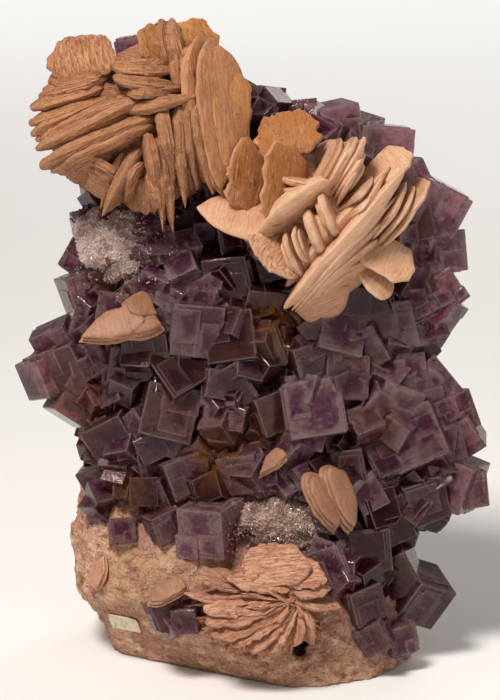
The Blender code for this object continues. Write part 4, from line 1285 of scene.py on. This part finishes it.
def barite_finish(name, deep, body, light, warm):
    """Opaque ribbed barite: deep between the ribs and in its pits as painted shade, light on the ribs and
    along the rims as painted highlights, and warm where it is thin.
    """
    finish, tree, shader = new_finish(name)
    grain = written_on(tree, "grain", "Vector")
    rough = written_on(tree, "rough")
    streak = cloud(tree, stretched(tree, grain, 0.11, 0.9, 2.0), 0.7, 6.0, 0.68)
    patch = cloud(tree, in_millimetres(tree), 6.0, 4.0, 0.55)
    pits = cloud(tree, stretched(tree, grain, 0.4, 1.2, 1.4), 0.8, 5.0, 0.75)
    # Streaks along the grain, paler where the ribs of the bump rise and darker between them: partly the
    # barite's own streaks, partly painted light and shade
    streaked = reckon(tree, "MULTIPLY", reckon(tree, "SUBTRACT", ease(tree, streak, 0.38, 0.60), 0.5), rough)
    colour = blend_colours(tree, reckon(tree, "ADD", streaked, 0.5), body, light)
    colour = blend_colours(tree, ease(tree, patch, 0.52, 0.34, 0.0, 0.5), colour, body)
    colour = blend_colours(tree, ease(tree, written_on(tree, "tint"), 0.45, 0.0, 0.0, 0.3), colour, deep)
    thin = reckon(tree, "MULTIPLY", written_on(tree, "warm"), ease(tree, patch, 0.3, 0.6, 0.65, 1.0))
    colour = blend_colours(tree, thin, colour, warm)
    # Painted highlight on the tops of the ribs, where the streaks rise highest
    rib_highlight = reckon(tree, "MULTIPLY", ease(tree, streak, 0.55, 0.75, 0.0, 0.55), rough)
    colour = blend_colours(tree, rib_highlight, colour, light)
    # Painted shade in the pits, which the same noise dents into the bump
    pitted = reckon(tree, "MULTIPLY", ease(tree, pits, 0.48, 0.36, 0.0, 0.85), rough)
    colour = blend_colours(tree, pitted, colour, deep)
    # Painted highlight along the rims of the blades
    rim = reckon(tree, "MULTIPLY", ease(tree, written_on(tree, "rim"), 0.2, 1.0), 0.4)
    colour = blend_colours(tree, rim, colour, light)
    tree.links.new(colour, shader.inputs["Base Color"])
    tree.links.new(ease(tree, rough, 0.2, 1.0, 0.42, 0.7), shader.inputs["Roughness"])
    ribbed = bumps(tree, reckon(tree, "MULTIPLY", streak, rough), 0.6, 0.8)
    pocked = bumps(tree, reckon(tree, "MULTIPLY", pits, rough), 0.55, 0.9, ribbed)
    tree.links.new(pocked, shader.inputs["Normal"])
    shader.inputs["IOR"].default_value = BARITE_IOR
    shader.inputs["Specular IOR Level"].default_value = BARITE_SHINE
    return finish


# The upper left rose, the largest: fans of thick blades to the left, spears that cross them and hang down
# below, and orange plates at the top. Its colours are the deep, the body, the light and the warm one.
TAN_BARITE = ((0.095, 0.03, 0.012), (0.31, 0.115, 0.048), (0.57, 0.275, 0.135), (0.64, 0.25, 0.055))
SMOOTH_PLATES = 0.55
HEART_UPPER_LEFT = (28.0, 24.0, 24.0)

# The dome: its middle on the face, radius, floor and height. Blades: two tips on the face, thickness, tilt
# off edge-on, breadth (0 reaches down to the dome's floor), how blunt each tip is, and how orange
ROSE_UPPER_LEFT_DOME = (-31.5, 162.0, 34.0, 1.0, 30.0)
ROSE_UPPER_LEFT = (
    (-59.2, 179.2, -39.0, 182.8, 3.0, 64, 15, 1.9, 1.9, 0.05),
    (-59.0, 176.0, -40.9, 179.8, 3.6, 24, 0, 1.7, 1.2, 0.2),
    (-61.3, 172.2, -41.2, 177.8, 3.2, 18, 0, 1.7, 1.2, 0.0),
    (-64.1, 168.4, -41.2, 175.1, 3.6, 12, 0, 1.7, 1.2, 0.0),
    (-64.4, 163.6, -42.3, 171.1, 3.6, 8, 0, 1.7, 1.2, 0.15),
    (-64.2, 160.2, -40.0, 171.1, 3.4, 4, 0, 1.6, 1.2, 0.3),
    (-62.4, 155.8, -27.7, 171.9, 4.4, 0, 0, 1.5, 1.3, 0.0),
    (-61.8, 150.4, -25.6, 165.2, 4.0, -4, 0, 1.4, 1.4, 0.0),
    (-39.7, 165.8, -12.6, 171.9, 4.0, 6, 0, 1.0, 0.85, 0.0),
    (-58.2, 148.6, -26.3, 162.6, 3.4, -8, 0, 1.3, 1.4, 0.0),
    (-54.0, 147.8, -38.0, 154.0, 3.4, -14, 0, 1.3, 1.0, 0.0),
    (-40.6, 180.7, -21.9, 178.9, 3.8, 18, 0, 1.8, 1.0, 0.0),
    (-40.0, 176.6, -21.3, 174.3, 3.6, 10, 0, 1.7, 1.0, 0.0),
    (-36.8, 171.9, -22.2, 171.4, 2.8, 4, 0, 1.4, 1.0, 0.0),
    (-30.6, 192.6, -26.3, 178.4, 3.0, 54, 13, 1.5, 1.2, 0.45),
    (-26.9, 194.2, -23.1, 176.4, 4.0, 14, 0, 1.3, 1.0, 0.1),
    (-23.4, 194.4, -18.7, 171.9, 4.4, 14, 0, 1.3, 1.0, 0.0),
    (-21.0, 193.0, -12.4, 181.4, 3.0, 54, 14, 1.6, 1.4, 0.7),
    (-17.9, 187.0, -13.7, 167.2, 3.6, 24, 0, 1.5, 0.9, 0.0),
    (-25.9, 169.4, -21.9, 143.3, 3.8, 2, 0, 1.7, 0.85, 0.0),
    (-20.8, 169.6, -19.0, 138.1, 3.6, 6, 0, 1.7, 0.85, 0.0),
    (-17.7, 169.6, -15.5, 143.6, 2.6, 12, 0, 1.6, 0.9, 0.0),
    (-15.9, 171.4, -10.8, 141.3, 3.4, 16, 0, 1.6, 0.9, 0.0),
    (-12.8, 165.8, -7.3, 141.6, 3.4, 30, 0, 1.2, 1.2, 0.15),
    (-26.8, 156.0, -22.5, 130.6, 3.4, -6, 0, 1.6, 0.8, 0.0),
    (-30.6, 160.5, -27.7, 143.6, 3.4, -6, 0, 1.7, 1.2, 0.0),
    (-27.6, 160.2, -25.7, 132.5, 3.0, -8, 0, 1.6, 0.8, 0.0),
    (-30.6, 149.5, -27.7, 137.0, 3.4, -14, 0, 1.6, 1.3, 0.0),
    (-43.8, 135.4, -30.6, 157.4, 3.7, -8, 0, 0.9, 1.5, 0.0),
    (-36.8, 140.7, -30.8, 151.6, 2.6, -14, 0, 0.9, 1.5, 0.0),
    (-48.4, 152.7, -37.6, 146.2, 2.4, -8, 0, 1.4, 1.3, 0.0),
    (-50.0, 151.3, -39.4, 142.9, 2.4, -16, 0, 1.4, 1.3, 0.0),
)
ROSE_UPPER_LEFT_SMOOTH = (
    (-14.6, 189.0, -11.0, 150.0, 2.4, 40, 0, 1.4, 1.2, 0.15),
    (-12.6, 187.4, -8.6, 143.6, 2.6, 48, 17, 1.4, 1.2, 0.1),
    (-10.6, 186.0, -5.4, 148.0, 2.6, 56, 14, 1.5, 1.3, 0.2),
    (-6.6, 179.2, -5.2, 160.0, 2.6, 64, 11, 1.7, 1.5, 0.5),
)

upper_left = Blades(3, 1.0)
upper_left.rose(ROSE_UPPER_LEFT, ROSE_UPPER_LEFT_DOME, 1)
upper_left.roughness = SMOOTH_PLATES
upper_left.rose(ROSE_UPPER_LEFT_SMOOTH, ROSE_UPPER_LEFT_DOME, 0)
upper_left.roughness = 1.0
upper_left.heart(ROSE_UPPER_LEFT_DOME, HEART_UPPER_LEFT)
tan_barite = barite_finish("barite_tan", *TAN_BARITE)
dress(upper_left.finished("rose_upper_left"), tan_barite, "barite_tan", "barite_rose_upper_left")

# The upper right rose: brown plates behind, cream petals in front, and one great layered blade across it.
# Rows as in the upper left rose.
CREAM_BARITE = ((0.17, 0.06, 0.024), (0.46, 0.215, 0.105), (0.78, 0.49, 0.32), (0.42, 0.15, 0.035))
SMOOTH_PETALS = 0.36
SMOOTH_BLADES = 0.45
ROSE_UPPER_RIGHT_DOME = (17.5, 136.5, 35.0, 1.0, 27.0)
HEART_UPPER_RIGHT = (24.0, 21.0, 21.0)
ROSE_UPPER_RIGHT_PLATES = (
    (2.0, 156.5, 20.9, 160.0, 3.0, 58, 17, 1.7, 1.6, 1.0),
    (-1.2, 157.9, -3.5, 137.0, 2.4, 60, 14, 2.0, 1.5, 1.0),
    (9.3, 157.3, 6.4, 133.4, 2.6, 56, 16, 2.2, 1.5, 1.0),
    (0.3, 129.6, 15.5, 117.9, 2.8, 46, 16, 1.3, 1.3, 0.3),
)
ROSE_UPPER_RIGHT_PETALS = (
    (-15.8, 138.6, 7.0, 130.6, 2.4, 60, 15, 1.1, 1.3, 0.2),
    (2.4, 131.0, 27.6, 148.2, 5.0, -22, 0, 1.2, 1.05, 0.0),
    (31.6, 127.0, 47.6, 118.2, 2.4, 50, 15, 1.5, 2.0, 0.1),
    (31.6, 121.4, 41.2, 111.8, 2.0, 42, 12, 1.1, 1.5, 0.0),
    (34.5, 144.0, 47.6, 155.0, 2.6, 44, 13, 1.3, 2.2, 0.0),
    (37.0, 127.0, 52.8, 147.2, 2.2, 28, 0, 1.1, 2.0, 0.0),
)
ROSE_UPPER_RIGHT_BLADES = (
    (8.8, 147.4, 20.4, 145.0, 1.8, 10, 0, 1.5, 1.3, 0.4),
    (9.0, 143.6, 19.0, 144.2, 1.6, 6, 0, 1.5, 1.3, 0.3),
    (7.4, 138.6, 17.8, 142.6, 1.8, 2, 0, 1.5, 1.3, 0.3),
    (17.2, 141.5, 26.6, 158.6, 1.6, 14, 0, 1.0, 1.7, 0.5),
    (18.6, 141.0, 28.8, 157.6, 1.8, 12, 0, 1.0, 1.7, 0.1),
    (20.2, 140.8, 31.0, 159.0, 2.0, 9, 0, 1.0, 1.9, 0.0),
    (22.2, 140.2, 33.4, 158.8, 2.2, 6, 0, 1.0, 1.9, 0.0),
    (24.0, 139.6, 33.6, 154.2, 1.8, 2, 0, 1.0, 1.7, 0.0),
    (25.2, 138.4, 32.6, 150.4, 1.6, -4, 0, 1.0, 1.5, 0.1),
    (25.5, 137.2, 36.2, 147.9, 2.0, 12, 0, 0.9, 1.2, 0.0),
    (26.4, 133.2, 36.4, 144.6, 2.0, 10, 0, 0.9, 1.2, 0.0),
    (26.7, 130.4, 39.0, 147.4, 2.6, 8, 0, 0.9, 1.1, 0.0),
    (28.4, 129.6, 38.4, 142.2, 1.8, 6, 0, 0.9, 1.1, 0.0),
    (10.2, 108.9, 45.8, 149.9, 4.8, 4, 0, 1.3, 1.15, 0.0),
    (12.2, 108.2, 44.0, 142.6, 2.4, -4, 0, 1.2, 1.0, 0.0),
    (13.2, 107.8, 40.6, 135.6, 2.4, -9, 0, 1.2, 1.0, 0.0),
    (14.6, 108.4, 38.0, 129.6, 2.6, -14, 0, 1.2, 1.0, 0.0),
    (15.6, 108.0, 35.6, 123.0, 2.8, -22, 0, 1.2, 1.1, 0.0),
    (34.8, 127.8, 46.4, 146.4, 2.0, 12, 0, 1.0, 1.2, 0.0),
    (36.2, 126.6, 48.8, 145.2, 1.8, 16, 0, 1.0, 1.2, 0.0),
    (37.6, 125.6, 50.4, 142.8, 1.8, 20, 0, 1.0, 1.2, 0.1),
    (11.0, 131.6, 16.2, 117.8, 2.0, 14, 0, 1.6, 1.4, 0.0),
    (14.2, 133.4, 17.8, 121.8, 1.4, 16, 0, 1.6, 1.4, 0.0),
    (17.2, 138.4, 22.2, 124.2, 2.8, 12, 0, 1.6, 1.4, 0.0),
    (20.8, 143.4, 26.4, 129.2, 2.4, 10, 0, 1.6, 1.4, 0.0),
    (13.4, 107.6, 29.0, 115.6, 3.4, -36, 18, 1.2, 1.2, 0.0),
)

upper_right = Blades(4, 1.0)
upper_right.rose(ROSE_UPPER_RIGHT_PLATES, ROSE_UPPER_RIGHT_DOME, 0)
upper_right.roughness = SMOOTH_PETALS
upper_right.rose(ROSE_UPPER_RIGHT_PETALS, ROSE_UPPER_RIGHT_DOME, 0)
upper_right.roughness = SMOOTH_BLADES
upper_right.rose(ROSE_UPPER_RIGHT_BLADES, ROSE_UPPER_RIGHT_DOME, 1)
upper_right.heart(ROSE_UPPER_RIGHT_DOME, HEART_UPPER_RIGHT)
cream_barite = barite_finish("barite_cream", *CREAM_BARITE)
dress(upper_right.finished("rose_upper_right"), cream_barite, "barite_cream", "barite_rose_upper_right")

# The lower rose: small, pink and ragged, low over the rock. Many thin plates fan out from one spot of it.
# Rows as in the upper left rose.
PINK_BARITE = ((0.20, 0.06, 0.028), (0.44, 0.18, 0.10), (0.74, 0.41, 0.27), (0.56, 0.20, 0.075))
ROSE_LOWER_ROUGHNESS = 1.1
ROSE_LOWER_DOME = (4.5, 22.0, 26.0, 13.0, 14.0)
HEART_LOWER = (17.0, 13.0, 13.0)
ROSE_LOWER_HUB = (12.3, 23.4)
ROSE_LOWER_NOTCH = (15.4, 11.5, 3.6)

# The thin plates: how many they are, the dome that they cover, with its flattening after its radius, and
# what they are like
FEATHERS = 120
FEATHER_DOME = (3.6, 20.6, 17.5, 0.68, 13.0, 15.0)
FEATHER_SPANS = (5.0, 11.0)
FEATHER_SWAY = 0.22
FEATHER_LIFTS = (-0.8, 0.9)
FEATHER_TILT = 38
FEATHER_THICKNESSES = (0.6, 1.2)
FEATHER_BREADTHS = (5, 7)
FEATHER_TIPS = (0.9, 1.6)
FEATHER_ROUND = 14
FEATHER_WARMTH = 0.35
FEATHER_WARM_BELOW = 2
ROSE_LOWER = (
    (-2.6, 31.0, 17.4, 33.0, 2.8, 50, 15, 1.6, 1.6, 0.0),
    (8.0, 29.2, 22.4, 30.4, 2.2, 46, 11, 1.4, 1.5, 0.0),
    (10.0, 27.4, 23.0, 26.2, 2.0, 44, 10, 1.3, 1.4, 0.0),
    (-6.0, 29.4, 12.0, 27.0, 2.2, 44, 10, 1.2, 1.2, 0.0),
    (9.6, 23.8, 27.5, 21.2, 2.2, 20, 0, 1.2, 1.0, 0.0),
    (-14.6, 30.2, 0.6, 26.4, 1.8, 24, 0, 1.3, 1.0, 0.0),
    (-19.9, 25.3, 0.0, 21.7, 1.8, 12, 0, 1.0, 1.0, 0.0),
    (-13.5, 20.4, 11.6, 23.4, 1.8, 52, 11, 1.4, 1.0, 0.1),
    (-13.0, 17.0, 11.8, 22.8, 1.8, 52, 11, 1.5, 1.0, 0.2),
    (-10.4, 12.9, 12.0, 22.0, 1.8, 50, 11, 1.5, 1.0, 0.3),
    (-6.0, 10.0, 12.4, 21.4, 1.8, 48, 10, 1.5, 1.0, 0.3),
    (-0.6, 8.4, 13.0, 21.0, 1.8, 46, 10, 1.5, 1.0, 0.3),
    (5.4, 7.8, 13.6, 20.8, 1.8, 42, 9, 1.5, 1.0, 0.2),
    (18.4, 11.0, 13.6, 22.0, 1.8, 24, 0, 1.3, 1.0, 0.1),
    (12.0, 9.6, 13.4, 21.0, 1.8, 34, 0, 1.3, 1.0, 0.1),
)


def feather_out(blades, count, dome, hub, spans, notch):
    """Thin ragged plates all over a low dome but its notch, fanned out from a hub on the face."""
    centre_x, centre_y, radius, squash, floor, height = dome
    chance = blades.chance
    for _ in range(count):
        way = chance.uniform(0, math.tau)
        off = math.sqrt(chance.random())
        x = centre_x + radius * off * math.cos(way)
        y = centre_y + radius * squash * off * math.sin(way)
        place = Vector((x, y))
        along = (place - Vector(hub)).normalized()
        along.rotate(Matrix.Rotation(chance.gauss(0, FEATHER_SWAY), 2))
        along *= chance.uniform(*spans) / 2
        crest = dome_at(floor, height, off) + chance.uniform(*FEATHER_LIFTS)
        tilt = chance.uniform(-FEATHER_TILT, FEATHER_TILT)
        thickness = chance.uniform(*FEATHER_THICKNESSES)
        breadth = chance.uniform(*FEATHER_BREADTHS)
        if math.hypot(place.x - notch[0], place.y - notch[1]) < notch[2]:
            continue
        warm = FEATHER_WARMTH if place.y < hub[1] - FEATHER_WARM_BELOW else 0.0
        start, end = place - along, place + along
        blades.blade(start, end, crest, breadth, thickness, tilt, FEATHER_TIPS, warm, FEATHER_ROUND)


lower = Blades(5, ROSE_LOWER_ROUGHNESS, ribs_across=False)
lower.rose(ROSE_LOWER, ROSE_LOWER_DOME, 0)
feather_out(lower, FEATHERS, FEATHER_DOME, ROSE_LOWER_HUB, FEATHER_SPANS, ROSE_LOWER_NOTCH)
lower.heart(ROSE_LOWER_DOME, HEART_LOWER)
pink_barite = barite_finish("barite_pink", *PINK_BARITE)
dress(lower.finished("rose_lower"), pink_barite, "barite_pink", "barite_rose_lower")

# The lone barite crystals
# Single plates and pairs that sit on the crust: waxy, rounded and smoother than the roses' blades.
# Each is a few thin plates grown on one another.
WAXY_BARITE = ((0.14, 0.052, 0.023), (0.27, 0.115, 0.060), (0.44, 0.225, 0.135), (0.5, 0.2, 0.06))
LONE_ROUGHNESS = 0.4
PLATES_EACH = 3
PLATE_ROUND = 36
PLATE_INSET = 0.05
PLATE_INSETS = (0.4, 1.4)
PLATE_SETBACK = 0.4
PLATE_NARROWING = 0.08
PLATE_NARROWINGS = (0.6, 1.3)
PLATE_OVERLAP = 1.5

# Rows: two tips on the face, thickness, tilt, breadth, depth of the visible edge, and how blunt each tip is
LONE_CRYSTALS = {
    "barite_crystal_left": (
        (-51.0, 99.6, -30.0, 105.4, 3.8, 60, 11, 15, 0.95, 1.5),
        (-45.0, 104.0, -25.4, 103.6, 4.4, 54, 12, 14.5, 0.9, 1.2),
        (-38.0, 110.4, -27.0, 106.4, 3.8, 48, 11, 13.5, 1.2, 1.0),
    ),
    "barite_crystal_right": (
        (22.6, 62.6, 30.4, 42.4, 4.6, 44, 11, 14.6, 1.7, 1.1),
        (16.8, 60.4, 26.0, 42.4, 4.4, 50, 10, 16, 1.6, 1.0),
    ),
    "barite_crystal_centre": ((2.4, 59.2, 10.6, 66.4, 2.2, 50, 6.4, 14.4, 0.85, 2.0),),
    "barite_crystal_foot_left": ((-46.6, 24.4, -43.8, 35.4, 2.2, 48, 6.5, 3, 1.2, 1.0),),
    "barite_crystal_foot_middle": ((-30.4, 21.8, -18.4, 28.0, 2.2, 46, 8, 19, 1.3, 1.7),),
}


def plates(blades, start, end, crest, breadth, thickness, tilt, tips):
    """A crystal of thin plates grown on one another, each a little smaller than the one before."""
    start, end = Vector(start), Vector(end)
    chance = blades.chance
    for layer in range(PLATES_EACH):
        near = start.lerp(end, PLATE_INSET * layer * chance.uniform(*PLATE_INSETS))
        far = end.lerp(start, PLATE_INSET * layer * chance.uniform(*PLATE_INSETS))
        lift = thickness * (layer / PLATES_EACH - PLATE_SETBACK)
        size = breadth * (1 - PLATE_NARROWING * layer * chance.uniform(*PLATE_NARROWINGS))
        thin = thickness / PLATES_EACH * PLATE_OVERLAP
        blades.blade(near, far, crest, size, thin, tilt, tips, 0.0, PLATE_ROUND, lift)


waxy_barite = barite_finish("barite_waxy", *WAXY_BARITE)
lone_finishes = {
    "barite_crystal_left": (waxy_barite, "barite_tan"),
    "barite_crystal_right": (waxy_barite, "barite_cream"),
    "barite_crystal_centre": (waxy_barite, "barite_cream"),
    "barite_crystal_foot_left": (pink_barite, "barite_pink"),
    "barite_crystal_foot_middle": (waxy_barite, "barite_pink"),
}
for node, rows in LONE_CRYSTALS.items():
    lone = Blades(len(node), LONE_ROUGHNESS, square_tips=False)
    for x0, y0, x1, y1, thickness, tilt, breadth, crest, *tips in rows:
        plates(lone, (x0, y0), (x1, y1), crest, breadth, thickness, tilt, tips)
    finish, slot = lone_finishes[node]
    dress(lone.finished(node + "_plates"), finish, slot, node)

# The collection label
# A small bare slip of aged paper, glued to the worn flank. Its corners are rounded, and one of them lifts.
LABEL_SIZE = (10.4, 5.6)
LABEL_THICKNESS = 0.16
LABEL_PLACE = (-37.6, 14.6)
LABEL_TILT = -9.0
LABEL_CORNER = 0.5
LABEL_GAP = 0.42
LABEL_GRID = (26, 14)
LABEL_LIFT = 2.2
LABEL_LIFTS_FROM = 0.62
LABEL_WAVINESS = 0.06
PAPER_CREAM = (0.70, 0.60, 0.47)
PAPER_FOXED = (0.48, 0.34, 0.22)
PAPER_FIBRE = (0.82, 0.74, 0.62)


def label_slip():
    """The slip, cut from a fine grid so that it can curl."""
    mesh = bmesh.new()
    bmesh.ops.create_grid(mesh, x_segments=LABEL_GRID[0], y_segments=LABEL_GRID[1], size=0.5)
    width, height = LABEL_SIZE
    level = Vector((0, 1, 0)).cross(FLANK_NORMAL).normalized()
    level.rotate(Matrix.Rotation(math.radians(LABEL_TILT), 3, FLANK_NORMAL))
    upright = FLANK_NORMAL.cross(level)
    place = Vector((*LABEL_PLACE, 0))
    place.z = (FLANK_POINT - place).dot(FLANK_NORMAL) / FLANK_NORMAL.z
    place += FLANK_NORMAL * LABEL_GAP
    for vert in mesh.verts:
        x, y = vert.co.x * width, vert.co.y * height
        inner_x, inner_y = width / 2 - LABEL_CORNER, height / 2 - LABEL_CORNER
        over_x, over_y = max(0.0, abs(x) - inner_x), max(0.0, abs(y) - inner_y)
        over = math.hypot(over_x, over_y)
        if over > LABEL_CORNER:
            x = math.copysign(inner_x + over_x * LABEL_CORNER / over, x)
            y = math.copysign(inner_y + over_y * LABEL_CORNER / over, y)
        corner = max(0.0, x / width + y / height - LABEL_LIFTS_FROM)
        rise = LABEL_LIFT * corner**1.5 + LABEL_WAVINESS * noise.noise(Vector((x * 0.5, y * 0.5, 3)))
        vert.co = place + level * x + upright * y + FLANK_NORMAL * rise
    bmesh.ops.transform(mesh, matrix=FACE, verts=mesh.verts)
    slip = bpy.data.meshes.new("label")
    mesh.to_mesh(slip)
    mesh.free()
    piece = new_piece("label", slip)
    sheet = piece.modifiers.new("thickness", "SOLIDIFY")
    sheet.thickness = LABEL_THICKNESS * MM
    sheet.offset = 0.0
    return settled(piece)


def paper_finish():
    """Aged paper: cream, foxed in spots, with faint fibres."""
    finish, tree, shader = new_finish("paper")
    place = in_millimetres(tree)
    foxing = cloud(tree, place, 1.8, 5.0, 0.65)
    fibre = cloud(tree, stretched(tree, place, 2.0, 0.6, 0.6), 0.35, 3.0, 0.6)
    colour = blend_colours(tree, ease(tree, foxing, 0.45, 0.72), PAPER_CREAM, PAPER_FOXED)
    colour = blend_colours(tree, ease(tree, fibre, 0.5, 0.8, 0.0, 0.4), colour, PAPER_FIBRE)
    tree.links.new(colour, shader.inputs["Base Color"])
    shader.inputs["Roughness"].default_value = 0.9
    tree.links.new(bumps(tree, fibre, 0.05, 0.6), shader.inputs["Normal"])
    return finish


dress(label_slip(), paper_finish(), "paper", "collection_label")

# The studio
# A wide pale floor, a broad soft light overhead, a softer one in front and a weak one behind.
CAMERA_AIM = FACE @ Vector((0, 96.6, 0))
CAMERA_DISTANCE = 0.875
CAMERA_LENS = 150.0
FLOOR_WIDTH = 24.0
FLOOR_PALE = (0.86, 0.85, 0.84, 1.0)
GLOW_FROM = 0.35
GLOW_FULL = 1.7
GLOW = (0.64, 0.63, 0.62)
SKY_PALE = (1.0, 0.985, 0.97, 1.0)
SKY_STRENGTH = 0.24

# Lights: name, place, size, power and colour. They all point at the specimen's middle
LIGHTS_AIM = Vector((0, 0, 0.09))
LIGHTS = (
    ("key", (-0.42, -0.55, 1.18), 0.36, 18.5, (1.0, 0.95, 0.89)),
    ("fill", (0.9, -1.1, 0.45), 0.9, 2.5, (1.0, 0.94, 0.88)),
    ("back", (0.45, 0.75, 0.75), 0.5, 2.4, (1.0, 0.97, 0.94)),
)


def studio_floor():
    """A flat sheet that glows faintly away from the specimen, where the lights don't reach."""
    mesh = bmesh.new()
    bmesh.ops.create_grid(mesh, x_segments=4, y_segments=4, size=FLOOR_WIDTH / 2)
    data = bpy.data.meshes.new("floor")
    mesh.to_mesh(data)
    mesh.free()
    floor = new_piece("floor", data)
    finish, tree, shader = new_finish("floor")
    shader.inputs["Base Color"].default_value = FLOOR_PALE
    shader.inputs["Roughness"].default_value = 0.8
    place = add_node(tree, "ShaderNodeTexCoord").outputs["Object"]
    away = add_node(tree, "ShaderNodeVectorMath", {"operation": "LENGTH"})
    tree.links.new(place, away.inputs[0])
    share = ease(tree, away.outputs["Value"], GLOW_FROM, GLOW_FULL)
    tree.links.new(blend_colours(tree, share, (0.0, 0.0, 0.0), GLOW), shader.inputs["Emission Color"])
    shader.inputs["Emission Strength"].default_value = 1.0
    data.materials.append(finish)


def studio_lights():
    for name, place, size, power, colour in LIGHTS:
        light = bpy.data.lights.new(name, "AREA")
        light.shape = "SQUARE"
        light.size = size
        light.energy = power
        light.color = colour
        lamp = bpy.data.objects.new(name, light)
        lamp.location = place
        way = LIGHTS_AIM - Vector(place)
        lamp.rotation_euler = way.to_track_quat("-Z", "Y").to_euler()
        bpy.context.scene.collection.objects.link(lamp)
    world = bpy.data.worlds.new("studio")
    world.use_nodes = True
    sky = world.node_tree.nodes["Background"]
    sky.inputs["Color"].default_value = SKY_PALE
    sky.inputs["Strength"].default_value = SKY_STRENGTH
    bpy.context.scene.world = world
    bpy.context.scene.view_settings.view_transform = "Standard"


def studio_camera():
    """A long lens square to the leaning face, as the photograph was taken."""
    data = bpy.data.cameras.new("camera")
    data.lens = CAMERA_LENS
    camera = bpy.data.objects.new("camera", data)
    tip = math.radians(LEAN_BACK)
    way = Vector((0, math.cos(tip), -math.sin(tip)))
    camera.location = CAMERA_AIM - way * CAMERA_DISTANCE
    camera.rotation_euler = way.to_track_quat("-Z", "Y").to_euler()
    bpy.context.scene.collection.objects.link(camera)
    bpy.context.scene.camera = camera


studio_floor()
studio_lights()
studio_camera()
